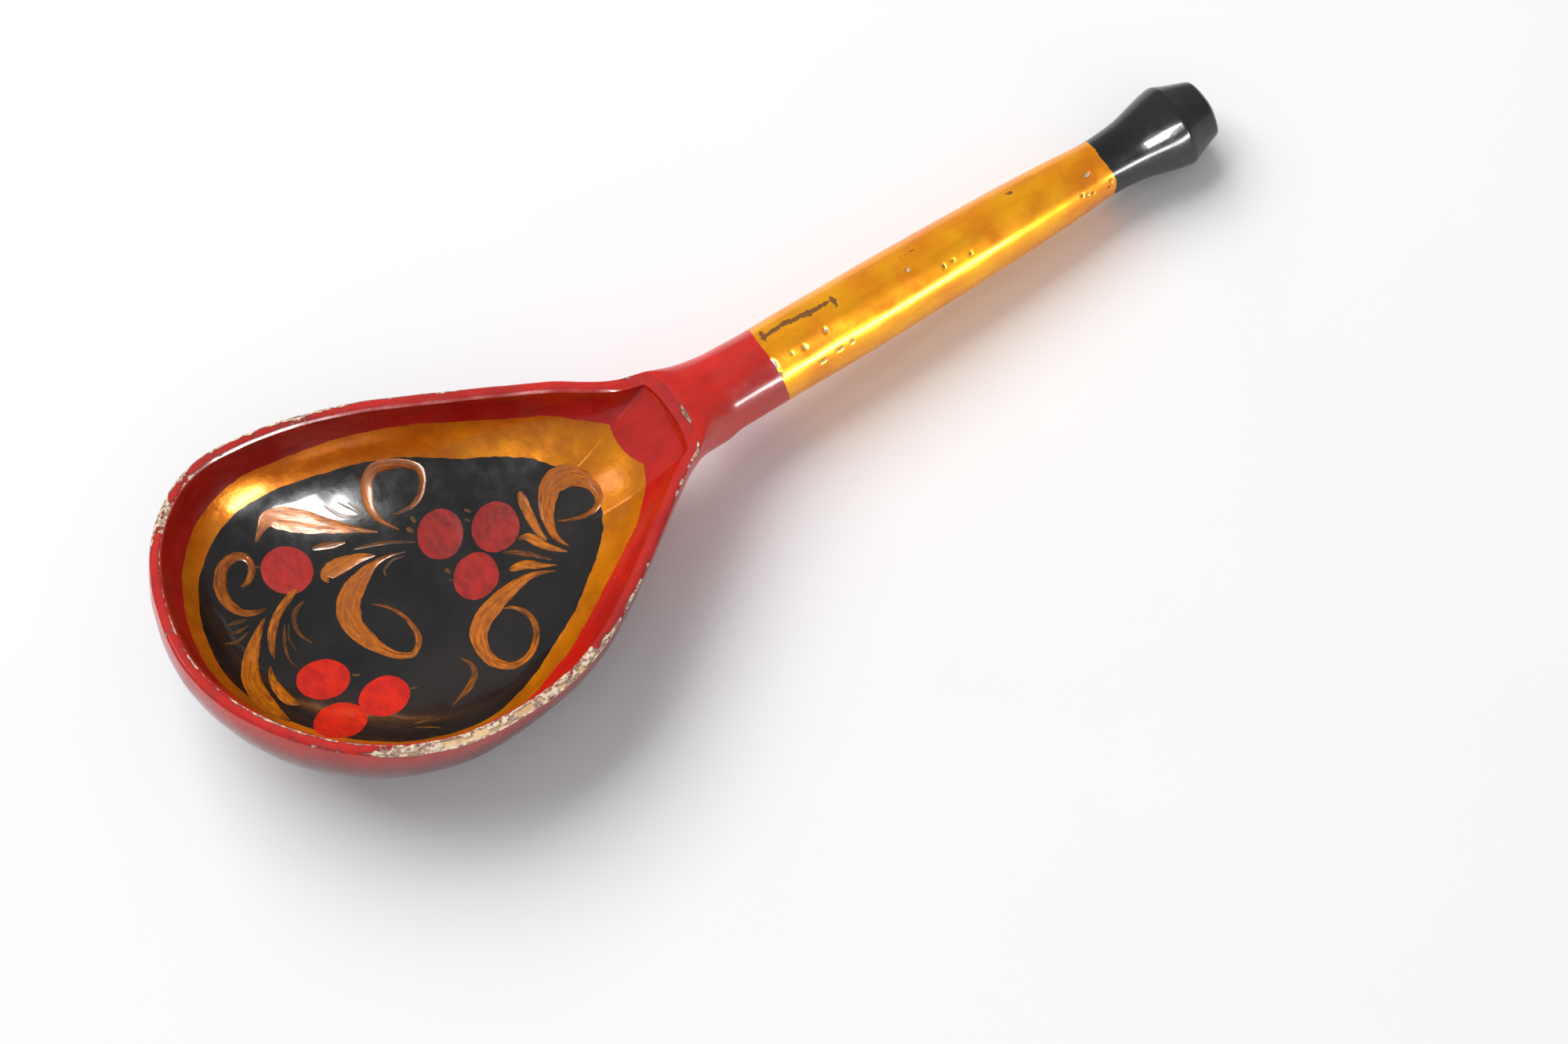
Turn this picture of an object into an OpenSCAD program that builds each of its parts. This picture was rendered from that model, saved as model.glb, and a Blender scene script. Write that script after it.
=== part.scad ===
// Painted wooden spoon: one carved blank under separate coats of lacquer.
// The spoon lies bowl up, resting on the bowl and on the finial.
// X runs from the bowl's tip to the finial, Y is the left side, Z is up.
// The origin lies on the ground, in the middle of the outline.

/* [Overall] */
// Length from the bowl's tip to the end of the finial
length = 195.8; // [180:0.1:210]
// Thickness of each coat of lacquer
coat = 0.3; // [0.2:0.05:0.4]

/* [Bowl] */
// Distance from the tip to the crest between the bowl and the neck
crest_at = 86; // [80:1:92]
// Distance from the tip to the widest place on the left side
left_peak = 22; // [18:1:30]
// Half width of the left side at its widest place
left_half = 31.5; // [26:0.5:36]
// How far the left side is pinched in beside the crest
left_pinch = 2; // [0:0.1:3]
// Distance from the tip to the widest place on the right side
right_peak = 36; // [30:1:42]
// Half width of the right side at its widest place
right_half = 33.8; // [28:0.1:38]
// How far the carved tip stands to the left of the handle's line
tip_skew = 5; // [0:0.5:6]
// Width of the rim's flat top
rim_w = 2; // [1.6:0.1:2.6]
// Height of the rim at the tip
rim_tip_z = 27; // [24:0.5:30]
// How far the rim falls between the tip and the crest
rim_fall = 5.4; // [3:0.1:7]
// How far the crest bows towards the handle
crest_bow = 2; // [1:0.1:4]
// Height of the crown that closes the bowl against the neck
crest_crown = 0.6; // [0:0.1:1]
// How far the outer wall swells beyond the rim's middle line
wall_bulge = 3; // [1:0.1:3.5]
// Distance from the tip to the lowest place of the underside
keel_at = 30; // [26:1:36]
// Height of the bowl's floor above the ground
floor_z = 4; // [3.5:0.1:5]

/* [Neck and handle] */
// Distance from the tip to the place where the neck is round
neck_at = 97; // [94:1:100]
// Radius of the neck and of the thick end of the handle
neck_r = 6.9; // [6:0.1:8]
// Height of the handle's line at the neck
neck_z = 13.1; // [12:0.1:14]
// Distance from the tip to the edge between the red and the gold coat
red_gold_at = 106; // [100:1:112]
// Distance from the tip to the edge between the gold and the black coat
gold_black_at = 173.5; // [168:0.5:178]
// Radius of the handle's thin end
thin_r = 5.1; // [4.5:0.1:6]
// Distance from the tip to the finial's widest place
girdle_at = 188.5; // [186:0.5:190]
// Radius of the finial at its widest place
girdle_r = 7.85; // [7:0.05:8.5]
// Radius of the finial's blunt end
end_r = 5.6; // [4.5:0.1:6]
// Distance from the tip to the edge of the blunt end
end_at = 194.7; // [192:0.1:195]

/* [Painted motifs] */
// Radius of a berry
berry_r = 4.1; // [3.5:0.1:4.5]
// Height of a berry's middle above the black ground
berry_h = 0.35; // [0.3:0.05:0.6]
// Height of a stroke's middle above the black ground
stroke_h = 0.3; // [0.25:0.05:0.4]
// Narrowest place of a stroke
stroke_min = 0.24; // [0.2:0.01:0.5]

/* [Fineness] */
// Number of stations along the bowl
bowl_n = 22; // [16:1:28]
// Number of facets across the underside, from rim to rim
under_n = 20; // [16:2:24]
// Number of facets across the crest
crest_n = 8; // [6:2:12]

/* [Hidden] */

// Middle of the bowl in plan, as distance from the tip and distance to the left
mid_at = 36;
mid_y = 0.5;
// The wall's swelling ahead of the tip moves the middle of the outline
middle_x = (length - 0.95 * wall_bulge) / 2;
loop_n = 2 * bowl_n + crest_n;
ring_n = under_n + crest_n;
// Rows of facets on the inside: red, gold and black
red_rows = 3;
gold_rows = 2;
black_rows = 5;
neck_low_z = neck_z - neck_r;
// Where the underside has risen to the neck
keel_end = 80;
// Number of flats on the finial's chamfer, and how flat they are
flats = 6;
flatness = 0.35;
neck_n = 6;
handle_n = 9;
// Handle outline beyond the neck: distance from the tip, radius
handle_outline = [[neck_at, neck_r], [125, 6.95], [140, 6.65], [155, 6.3], [166, 5.7],
                  [gold_black_at, thin_r], [180, 5.7], [185, 7], [girdle_at, girdle_r],
                  [end_at, end_r], [length - 0.4, 4.2], [length, 0.9]];
// How far behind the crest the neck's shoulders have turned round
shoulder_reach = 20;
// Edge of the gold border and of the black ground. Each pair is a direction around the
// bowl's middle and a place on the wall: 0 is the floor's middle and 90 is the rim.
gold_edge = [[-180, 77], [-150, 70], [-120, 67], [-90, 61], [-60, 55], [-35, 57],
             [0, 66], [20, 69], [60, 74], [110, 73], [150, 75]];
black_edge = [[-180, 68], [-150, 62.5], [-120, 59], [-90, 53], [-60, 46], [-30, 48],
              [0, 47.5], [20, 51], [60, 56], [110, 59.5], [150, 66.5]];
// Circle that bites the ogee into the gold border's handle end
bite_at = 89.5;
bite_y = 1.6;
bite_r = 12;

/* Small helpers */
function unit(v) = v / max(1e-9, norm(v));
function smooth(t) = let (c = max(0, min(1, t))) c * c * (3 - 2 * c);
function power(v, p) = sign(v) * pow(abs(v), p);
function super_cos(a, m) = power(cos(a), 2 / m);
function super_sin(a, m) = power(sin(a), 2 / m);
function flatten(rows) = [for (row = rows) for (p = row) p];

// Smooth closed curve through [direction, value] pairs that are in order
function around(pairs, a, i = 0) =
    let (n = len(pairs), next = i + 1 < n ? pairs[i + 1][0] : pairs[0][0] + 360)
    a >= next && i + 1 < n ? around(pairs, a, i + 1)
    : let (t = (a - pairs[i][0]) / (next - pairs[i][0]),
           p0 = pairs[(i + n - 1) % n][1], p1 = pairs[i][1],
           p2 = pairs[(i + 1) % n][1], p3 = pairs[(i + 2) % n][1])
      0.5 * (2 * p1 + (p2 - p0) * t + (2 * p0 - 5 * p1 + 4 * p2 - p3) * t * t
             + (3 * p1 - p0 - 3 * p2 + p3) * t * t * t);

/* Rim outline, seen from above */
function skew(s) = s < 60 ? tip_skew * pow(1 - s / 60, 2) : 0;
function side_w(s, peak, half, p, end, a) =
    s <= peak ? half * pow(max(0, 1 - pow((peak - s) / peak, p)), 1 / p)
    : s >= end ? neck_r
    : neck_r + (half - neck_r) * (1 + cos(180 * pow((s - peak) / (end - peak), a))) / 2;
// The pinch grows over 12 mm ahead of the crest's corner and fades over 9 mm of the neck
function pinch(s) = left_pinch * smooth((s - 72) / 12) * (1 - smooth((s - crest_at) / 9));
function left_w(s) = side_w(s, left_peak, left_half, 2, neck_at - 2, 1.15) - pinch(s);
function right_w(s) = side_w(s, right_peak, right_half, 1.85, neck_at, 1.3);
function rim_z(s) = rim_tip_z - rim_fall * s / crest_at;
function station(i) = crest_at * (1 - cos(180 * i / bowl_n)) / 2;
function rim_left(s) = [s, skew(s) + left_w(s), rim_z(s)];
function rim_right(s) = [s, skew(s) - right_w(s), rim_z(s)];
// The crest runs from the left side to the right side and bows towards the handle
function crest_point(q) =
    let (turn = 180 * q / crest_n, a = rim_left(crest_at), b = rim_right(crest_at))
    a + (b - a) * (1 - cos(turn)) / 2 + [crest_bow, 0, crest_crown] * sin(turn);

// The rim's middle line as a closed loop: right side, tip, left side, crest
rim_line = [for (k = [0:loop_n - 1])
    k <= bowl_n ? rim_right(station(bowl_n - k))
    : k <= 2 * bowl_n ? rim_left(station(k - bowl_n))
    : crest_point(k - 2 * bowl_n)];
rim_out_dir = [for (k = [0:loop_n - 1])
    let (a = rim_line[(k + loop_n - 1) % loop_n], b = rim_line[(k + 1) % loop_n],
         t = unit([b.x - a.x, b.y - a.y]))
    [-t.y, t.x, 0]];
// d runs outwards across the rim, and deep is the depth under the finished surface
function rim_edge(d, deep) = [for (k = [0:loop_n - 1])
    rim_line[k] + rim_out_dir[k] * d - [0, 0, deep]];
function outer_edge(deep) = rim_edge(rim_w / 2 - deep, deep);
function inner_edge(deep) = rim_edge(deep - rim_w / 2, deep);

/* Outside of the bowl, neck and handle */
function keel_z(s, deep) =
    s < keel_at
    ? let (k = min(1, (keel_at - s) / (keel_at + rim_w / 2 - deep)))
      deep + (rim_tip_z - 2 * deep) * (1 - pow(1 - pow(k, 2.3), 1 / 2.3))
    : deep + neck_low_z * (1 - cos(180 * min(1, (s - keel_at) / (keel_end - keel_at)))) / 2;
// The section is round at the tip and leaner towards the neck
function fullness(s) = 2.2 - 0.55 * smooth((s - 30) / 50);
function bulged(p, top) =
    let (drop = (top - p.z) / top, out = unit([p.x - mid_at, p.y - mid_y]),
         b = drop < 0.8 ? wall_bulge * smooth((48 - p.x) / 43) * sin(225 * drop) : 0)
    [p.x + b * out.x, p.y + b * out.y, p.z];
function bowl_ring(i, edge, deep) =
    let (a = edge[bowl_n + i], b = edge[bowl_n - i], mid = (a + b) / 2, half = (a - b) / 2,
         drop = mid.z - keel_z(mid.x, deep), m = fullness(mid.x))
    [for (j = [0:under_n])
        let (u = 180 * j / under_n)
        bulged(mid + half * super_cos(u, m) - [0, 0, drop * max(0, super_sin(u, m))], mid.z)];
// The crest ring closes the bowl's last ring over the top, from right to left
function crest_ring(edge, deep) = concat(bowl_ring(bowl_n, edge, deep),
    [for (q = [1:crest_n - 1]) edge[loop_n - q]]);

function axis_z(s) = girdle_r + (neck_z - girdle_r) * (girdle_at - s) / (girdle_at - neck_at);
function handle_r(s) = lookup(s, handle_outline);
function facet(u, amount) =
    let (w = 360 / flats, v = (u + 720) % w - w / 2)
    1 - amount + amount * cos(w / 2) / cos(v);
function ring_angle(j) = j <= under_n ? 180 * j / under_n : 180 + 180 * (j - under_n) / crest_n;
// The upper half is flat with shoulders at the crest and turns round along the neck
function shoulder(s) = 3 - smooth((s - crest_at) / shoulder_reach);
function neck_ring(s, deep) =
    let (t = (s - crest_at) / (neck_at - crest_at), b = smooth(t), sink = smooth(1.25 * t),
         edge = (1 - t) * rim_w / 2, wl = left_w(s) + edge - deep, wr = right_w(s) + edge - deep,
         crest_z = rim_z(crest_at) - deep, mid_z = crest_z + (neck_z - crest_z) * sink,
         top_z = crest_z + crest_crown + (neck_z + neck_r - deep - crest_z - crest_crown) * b,
         low = mid_z - keel_z(s, deep), bow = (1 - t) * (crest_bow + edge))
    [for (j = [0:ring_n - 1])
        let (u = ring_angle(j), m = u < 180 ? fullness(s) + (2 - fullness(s)) * b : shoulder(s),
             c = super_cos(u, m), v = super_sin(u, m))
        [s + bow * max(0, -v), (wl - wr) / 2 + (wl + wr) / 2 * c,
         mid_z - (v > 0 ? low : top_z - mid_z) * v]];
function round_ring(s, deep) =
    let (r = handle_r(s) - deep, flat = flatness * smooth((s - girdle_at + 3) / 6))
    [for (j = [0:ring_n - 1])
        let (u = ring_angle(j), f = r * facet(u, flat), m = u < 180 ? 2 : shoulder(s))
        [s, f * super_cos(u, m), axis_z(s) - f * super_sin(u, m)]];
// The coat keeps its thickness around the blunt end
function finial_ring(s, deep) = round_ring(s > end_at ? s - deep : s, deep);

function spread(a, b, n) = [for (i = [0:n]) a + (b - a) * i / n];
neck_stations = [for (s = spread(crest_at, neck_at, neck_n)) if (s > crest_at) s];
red_stations = [neck_at, 101, red_gold_at];
gold_stations = spread(red_gold_at, gold_black_at, handle_n);
finial_stations = [gold_black_at, 177, 180, 182.5, 185, 187, girdle_at, 190.5, 192.6, end_at,
                   length - 0.4];
// The very end stops short by the coat's thickness under the coat
function end_point(deep) = [length - deep, 0, axis_z(length)];

/* Inside of the bowl */
function hollow_power(a) = 2.2 - 0.5 * pow(max(0, cos(a)), 2);
function plan_angle(p) = atan2(p.y - mid_y, p.x - mid_at);
// w is the place on the wall: 0 is the floor's middle and 90 is the rim. The rim's corners
// beside the crest round off over the first 35 degrees of the way down.
function wall_point(p, a, w, deep) =
    let (e = 2 / hollow_power(a), low = floor_z - deep, rise = 1 - pow(cos(w), e),
         rounding = round_reach(a) / lookup(a, reach_table) - 1,
         t = pow(sin(w), e) * (1 + rounding * smooth((90 - w) / 35)))
    [mid_at + t * (p.x - mid_at), mid_y + t * (p.y - mid_y), low + (p.z - low) * rise];
// Distance along a direction from the bowl's middle to the biting circle, in plan
function bite(a) =
    let (dx = bite_at - mid_at, dy = bite_y - mid_y, along = dx * cos(a) + dy * sin(a),
         off = dx * sin(a) - dy * cos(a))
    abs(off) < bite_r && along > 0 ? along - sqrt(bite_r * bite_r - off * off) : 1e3;
function gold_wall(p) =
    let (a = plan_angle(p), t = min(1, bite(a) / round_reach(a)))
    min(around(gold_edge, a), asin(pow(t, hollow_power(a) / 2)));
function black_wall(p) = around(black_edge, plan_angle(p));
function wall_row(edge, deep, from, to, t) = [for (k = [0:loop_n - 1])
    let (p = edge[k], w0 = from == "rim" ? 90 : from == "gold" ? gold_wall(p) : black_wall(p),
         w1 = to == "gold" ? gold_wall(p) : to == "black" ? black_wall(p) : 0)
    wall_point(p, plan_angle(p), w0 + (w1 - w0) * t, deep)];
function wall_rows(edge, deep, from, to, n, first, last) =
    [for (i = [first:last]) wall_row(edge, deep, from, to, i / n)];
function red_grid(deep) = concat([outer_edge(deep)],
    wall_rows(inner_edge(deep), deep, "rim", "gold", red_rows, 0, red_rows));
function gold_grid(deep) =
    wall_rows(inner_edge(deep), deep, "gold", "black", gold_rows, 0, gold_rows);
function black_grid(deep) =
    wall_rows(inner_edge(deep), deep, "black", "floor", black_rows, 0, black_rows - 1);
function floor_point(deep) = [mid_at, mid_y, floor_z - deep];

// Height of the finished inside at a place in plan
inner_reach = let (e = inner_edge(0), o = [for (p = e) [plan_angle(p), norm([p.x - mid_at,
    p.y - mid_y])]]) concat([for (v = o) if (v[0] > 120) [v[0] - 360, v[1]]], o,
    [for (v = o) if (v[0] < -120) [v[0] + 360, v[1]]]);
function by_angle(v) = len(v) < 2 ? v
    : let (m = v[floor(len(v) / 2)][0]) concat(
        by_angle([for (x = v) if (x[0] < m) x]), [for (x = v) if (x[0] == m) x],
        by_angle([for (x = v) if (x[0] > m) x]));
reach_table = by_angle(inner_reach);
// The reach of the inner edge, averaged over the directions beside it
reach_share = [1, 2, 3, 4, 3, 2, 1] / 16;
function round_reach(a) = reach_share * [for (d = [-15:5:15]) lookup(a + d, reach_table)];
function inside_z(s, y) =
    let (a = atan2(y - mid_y, s - mid_at), far = round_reach(a),
         t = norm([s - mid_at, y - mid_y]) / far, n = hollow_power(a),
         top = rim_z(mid_at + far * cos(a)))
    floor_z + (top - floor_z) * (1 - pow(1 - pow(min(1, t), n), 1 / n));

/* Building closed solids from grids */
// Quads between closed rings a and b of n points that start at the given indices
function loop_band(a, b, n) = [for (j = [0:n - 1])
    let (k = (j + 1) % n) each [[a + j, a + k, b + k], [a + j, b + k, b + j]]];
function open_band(a, b, n) = [for (j = [0:n - 1])
    each [[a + j, a + j + 1, b + j + 1], [a + j, b + j + 1, b + j]]];
function loop_bands(first, rows, n) = [for (i = [0:1:rows - 2])
    each loop_band(first + i * n, first + (i + 1) * n, n)];
function loop_fan(ring, tip, n) = [for (j = [0:n - 1]) [ring + j, ring + (j + 1) % n, tip]];
function turned(faces) = [for (f = faces) [f[2], f[1], f[0]]];
module solid(points, faces) {
    translate([-middle_x, 0, 0]) polyhedron(points = points, faces = faces);
}
// A coat whose grid of closed rings is the same above and below
module ring_coat(top, low) {
    n = len(top[0]);
    r = len(top);
    half = n * r;
    solid(concat(flatten(top), flatten(low)), concat(
        loop_bands(0, r, n), turned(loop_bands(half, r, n)),
        turned(loop_band(0, half, n)), loop_band(half - n, 2 * half - n, n)));
}

// Points of the outside: tip, bowl rings, then closed rings from the crest onwards
function bowl_rows(deep) = let (e = outer_edge(deep))
    flatten([for (i = [1:bowl_n - 1]) bowl_ring(i, e, deep)]);
function bowl_start(i) = 1 + (i - 1) * (under_n + 1);
crest_start = bowl_start(bowl_n);
function outside_points(deep, closed) = let (e = outer_edge(deep))
    concat([e[bowl_n]], bowl_rows(deep), crest_ring(e, deep), flatten(closed));
// Faces of the outside up to the last closed ring
function outside_faces(closed_n) = concat(
    [for (j = [0:under_n - 1]) [0, bowl_start(1) + j + 1, bowl_start(1) + j]],
    [for (i = [1:bowl_n - 1]) each open_band(bowl_start(i), bowl_start(i + 1), under_n)],
    loop_bands(crest_start, closed_n + 1, ring_n));
// Index, in the outside points, of each place on the rim's outer edge
function edge_index(k) = k == bowl_n ? 0
    : k < bowl_n ? bowl_start(bowl_n - k) + under_n
    : k <= 2 * bowl_n ? bowl_start(k - bowl_n)
    : crest_start + under_n + loop_n - k;

neck_rows = function (deep) concat([for (s = neck_stations) if (s < neck_at) neck_ring(s, deep)],
    [for (s = red_stations) round_ring(s, deep)]);

/* Wood */
module wood_body() {
    closed = concat(neck_rows(coat),
        [for (s = gold_stations) if (s > red_gold_at) round_ring(s, coat)],
        [for (s = finial_stations) if (s > gold_black_at) finial_ring(s, coat)]);
    rows = concat([inner_edge(coat)],
        [for (i = [1:red_rows]) red_grid(coat)[i + 1]],
        [for (i = [1:gold_rows]) gold_grid(coat)[i]],
        [for (i = [1:black_rows - 1]) black_grid(coat)[i]]);
    outside = outside_points(coat, closed);
    at_end = len(outside);
    at_rows = at_end + 1;
    at_floor = at_rows + len(rows) * loop_n;
    color("burlywood") solid(
        concat(outside, [end_point(coat)], flatten(rows), [floor_point(coat)]),
        concat(outside_faces(len(closed)), loop_fan(at_end - ring_n, at_end, ring_n),
            [for (k = [0:loop_n - 1]) let (l = (k + 1) % loop_n)
                each [[edge_index(k), edge_index(l), at_rows + l],
                      [edge_index(k), at_rows + l, at_rows + k]]],
            loop_bands(at_rows, len(rows), loop_n),
            loop_fan(at_floor - loop_n, at_floor, loop_n)));
}

/* Coats on the outside */
module red_outer_coat() {
    top = outside_points(0, neck_rows(0));
    low = outside_points(coat, neck_rows(coat));
    n = len(top);
    rings = len(neck_rows(0));
    color("firebrick") solid(concat(top, low), concat(
        outside_faces(rings), turned([for (f = outside_faces(rings)) f + [n, n, n]]),
        loop_band(n - ring_n, 2 * n - ring_n, ring_n),
        [for (k = [0:loop_n - 1]) let (l = (k + 1) % loop_n, a = edge_index(k), b = edge_index(l))
            each [[a, b, n + b], [a, n + b, n + a]]]));
}

module gold_handle_coat() {
    color("goldenrod") ring_coat([for (s = gold_stations) round_ring(s, 0)],
        [for (s = gold_stations) round_ring(s, coat)]);
}

module black_finial_coat() {
    top = [for (s = finial_stations) finial_ring(s, 0)];
    low = [for (s = finial_stations) finial_ring(s, coat)];
    r = len(top);
    half = ring_n * r;
    last = 2 * half;
    color([0.15, 0.15, 0.15]) solid(
        concat(flatten(top), flatten(low), [end_point(0), end_point(coat)]),
        concat(loop_bands(0, r, ring_n), turned(loop_bands(half, r, ring_n)),
            turned(loop_band(0, half, ring_n)),
            loop_fan(half - ring_n, last, ring_n),
            turned(loop_fan(last - ring_n, last + 1, ring_n))));
}

/* Coats on the inside */
module red_inner_band() {
    color("red") ring_coat(red_grid(0), red_grid(coat));
}

module gold_border() {
    color("gold") ring_coat(gold_grid(0), gold_grid(coat));
}

module black_ground() {
    top = black_grid(0);
    low = black_grid(coat);
    r = len(top);
    half = loop_n * r;
    last = 2 * half;
    color([0.1, 0.1, 0.1]) solid(
        concat(flatten(top), flatten(low), [floor_point(0), floor_point(coat)]),
        concat(loop_bands(0, r, loop_n), turned(loop_bands(half, r, loop_n)),
            turned(loop_band(0, half, loop_n)),
            loop_fan(half - loop_n, last, loop_n),
            turned(loop_fan(last - loop_n, last + 1, loop_n))));
}

/* Berries: round dabs that follow the hollow */
module berry(at, r = berry_r) {
    n = 16;
    rings = [for (t = [1, 0.85, 0.5]) [for (j = [0:n - 1])
        let (x = at.x + r * t * cos(360 * j / n), y = at.y + r * t * sin(360 * j / n))
        [x, y, inside_z(x, y) + berry_h * sqrt(max(0, 1 - t * t))]]];
    under = [for (j = [0:n - 1]) let (p = rings[0][j], x = (p.x + at.x) / 2, y = (p.y + at.y) / 2)
        [x, y, inside_z(x, y)]];
    solid(concat(flatten(rings), [[at.x, at.y, inside_z(at.x, at.y) + berry_h]], under,
            [[at.x, at.y, inside_z(at.x, at.y)]]),
        concat(turned(loop_bands(0, 3, n)), turned(loop_fan(2 * n, 3 * n, n)),
            loop_band(0, 3 * n + 1, n), loop_fan(3 * n + 1, 4 * n + 1, n)));
}

module left_berry() {
    color("crimson") berry([19.9, 17.1]);
}

module middle_berries() {
    color("crimson") for (at = [[44.8, 8.7], [53.2, 4.1], [46.1, -0.8]]) berry(at);
}

module front_berries() {
    color("crimson") for (at = [[15.8, -3.3], [22.9, -11.3], [15, -12.8]]) berry(at);
}

/* Brush strokes: ribbons that follow the hollow and thin out at both ends */
function bend(a, b, c, d, t) = 0.5 * (2 * b + (c - a) * t + (2 * a - 5 * b + 4 * c - d) * t * t
    + (3 * b - a - 3 * c + d) * t * t * t);
function path_point(path, f) =
    let (n = len(path), i = min(n - 2, floor(f)), t = f - i)
    bend(path[max(0, i - 1)], path[i], path[i + 1], path[min(n - 1, i + 2)], t);
// Each point of a path: distance from the tip, distance to the left, width of the brush
module stroke(path) {
    steps = 3 * (len(path) - 1);
    mids = [for (i = [0:steps]) path_point(path, i / 3)];
    rows = [for (i = [0:steps])
        let (m = mids[i], a = mids[max(0, i - 1)], b = mids[min(steps, i + 1)],
             d = unit([b.x - a.x, b.y - a.y]), half = max(stroke_min, m.z) / 2,
             h = stroke_h * min(1, 0.4 + half))
        [for (c = [[1, 0], [0, 1], [-1, 0], [0, 0]])
            let (x = m.x - d.y * half * c[0], y = m.y + d.x * half * c[0])
            [x, y, inside_z(x, y) + h * c[1]]]];
    last = 4 * steps;
    solid(flatten(rows), concat(turned(loop_bands(0, steps + 1, 4)),
        [[0, 1, 2], [0, 2, 3], [last + 2, last + 1, last], [last + 3, last + 2, last]]));
}

module leaf_strokes() {
    color("darkorange") {
        stroke([[36, 15.4, 0.3], [32.9, 17.8, 1.1], [29.8, 20.2, 2.3], [26.8, 22.5, 3.6],
            [24, 24.5, 3.6], [21.7, 25.4, 2.4], [19.7, 24.5, 1.1], [18.1, 23.2, 0.4]]);
        stroke([[33.7, 12.4, 0.3], [31.2, 13.4, 1.6], [28.4, 13.9, 2.6], [26.3, 13.9, 2.8],
            [24.8, 13.5, 1.7], [24.7, 12.2, 0.3]]);
        stroke([[12.7, 11.2, 0.3], [11, 9.5, 1], [8.8, 6.8, 1.8], [7, 3.5, 2.3], [6.2, 0.3, 2.7],
            [6.3, -3.5, 2.8], [7, -6.9, 2], [8.4, -10, 0.4]]);
        stroke([[9.7, 2.8, 0.3], [9, 0, 1.1], [9.1, -2.9, 1.7], [9.7, -5.4, 1.6], [10.8, -6.6, 0.3]]);
        stroke([[20.5, 14, 0.3], [18.5, 13.3, 1], [15.8, 11.8, 1.2], [13.5, 9.7, 1.3], [12, 7.4, 1.2],
            [11.1, 5.2, 0.8], [10.9, 3.8, 0.2]]);
        stroke([[59.1, -3.3, 0.4], [58.8, -0.6, 1.2], [59, 2.3, 1.6], [59.3, 4.7, 1.6],
            [59.7, 6.4, 0.9]]);
        stroke([[60.9, -7.4, 0.3], [58.9, -4.7, 1.1], [57.6, -2.1, 1.6], [56.7, -0.4, 1.2],
            [55.3, 0.2, 0.4]]);
        stroke([[58.2, -8.2, 0.2], [56, -6.4, 1], [54.2, -4.6, 1.6], [52.5, -3.8, 1.4],
            [51.3, -3.6, 0.6]]);
    }
}

module curl_strokes() {
    color("orange") {
        stroke([[39.3, 13.7, 0.3], [37.7, 16.1, 0.9], [37, 18.7, 1.5], [37.8, 21, 1.9],
            [39.2, 22.5, 1.8], [41.2, 23, 1.5], [43.6, 22.2, 1.4], [46.1, 20.8, 1.2], [47.6, 19, 1.3],
            [47.2, 17.4, 1.2], [45.5, 15.9, 1], [43.4, 15.4, 0.8], [41.1, 15.8, 0.5],
            [39.5, 16.4, 0.2]]);
        stroke([[38.2, 10.1, 0.2], [35.6, 11, 0.5], [32.9, 11.2, 1.2], [30.2, 10.4, 2.6],
            [27.3, 9, 3.7], [25.1, 6.7, 4], [24.4, 3.8, 3.5], [24.9, 0.8, 2.9], [26.2, -2.5, 1.9],
            [28, -5.2, 1.3], [30.2, -6.6, 1.1], [32.1, -5.3, 1.1], [32.7, -3, 1], [32.2, 0.4, 0.7],
            [30.8, 3.4, 0.6], [28.9, 5.3, 0.2]]);
        stroke([[12.3, 17.6, 0.4], [13.6, 18, 0.8], [14.9, 19.3, 1], [15.5, 20.7, 1.1], [15, 22, 1.4],
            [13.5, 22.3, 1.4], [11.5, 21.4, 1.5], [10, 19.5, 1.7], [9.1, 17.2, 1.8], [9.2, 15.1, 1.7],
            [10.2, 13.4, 1.3], [11.8, 12.7, 1], [13.8, 12.7, 0.3]]);
        stroke([[61.6, -6.8, 0.2], [60.7, -3.8, 1], [61.1, -0.7, 2], [62.5, 2.1, 3.1],
            [64.9, 3.9, 3.8], [67.7, 3.5, 3.7], [69.6, 1.4, 2.6], [70.4, -1, 1.8], [70, -3.2, 1.4],
            [68.4, -4.2, 1.1], [66, -3.8, 0.8], [63.7, -2.7, 0.5], [62.4, -1.6, 0.2]]);
        stroke([[57.5, -9, 0.2], [55.4, -7.6, 0.7], [53, -6.7, 1.5], [49.8, -6.8, 2.6],
            [46.7, -7.2, 3.3], [43.7, -8.1, 3.5], [41.4, -10, 3.2], [40.5, -12.9, 2.3],
            [40.8, -15.8, 1.9], [42.2, -18, 1.5], [44.2, -19.4, 1.4], [46.8, -19.2, 1.4],
            [48.9, -17.5, 1.2], [50, -15, 1], [49.7, -12, 0.9], [48.4, -9.8, 0.6], [47, -8.9, 0.2]]);
    }
}

module stem_strokes() {
    color("peru") {
        stroke([[40.6, 10.4, 0.3], [37.3, 12.6, 0.5], [34.2, 14.1, 0.6], [31.1, 15.2, 0.3]]);
        stroke([[30.6, 16.8, 0.3], [28.5, 17.5, 1], [26.6, 18.2, 1.1], [25.2, 18.5, 0.4]]);
        stroke([[58.1, -6.8, 0.3], [55.7, -3.6, 0.8], [53.8, -1.5, 0.8], [52.1, -0.2, 0.4]]);
        stroke([[19.6, 11.3, 0.3], [17.4, 10.3, 0.9], [16.3, 8.3, 0.7], [16.3, 6, 0.5],
            [17.2, 4, 0.2]]);
        stroke([[14.9, 9, 0.2], [13.6, 6.4, 0.5], [12.8, 3.1, 0.4], [13.3, 0.2, 0.2]]);
        stroke([[36.5, -11.9, 0.2], [37.6, -14.4, 0.8], [37.1, -16.3, 1.1], [35.3, -17.9, 1.3],
            [33, -18.9, 0.8], [31.3, -19.6, 0.3]]);
    }
}

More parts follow.
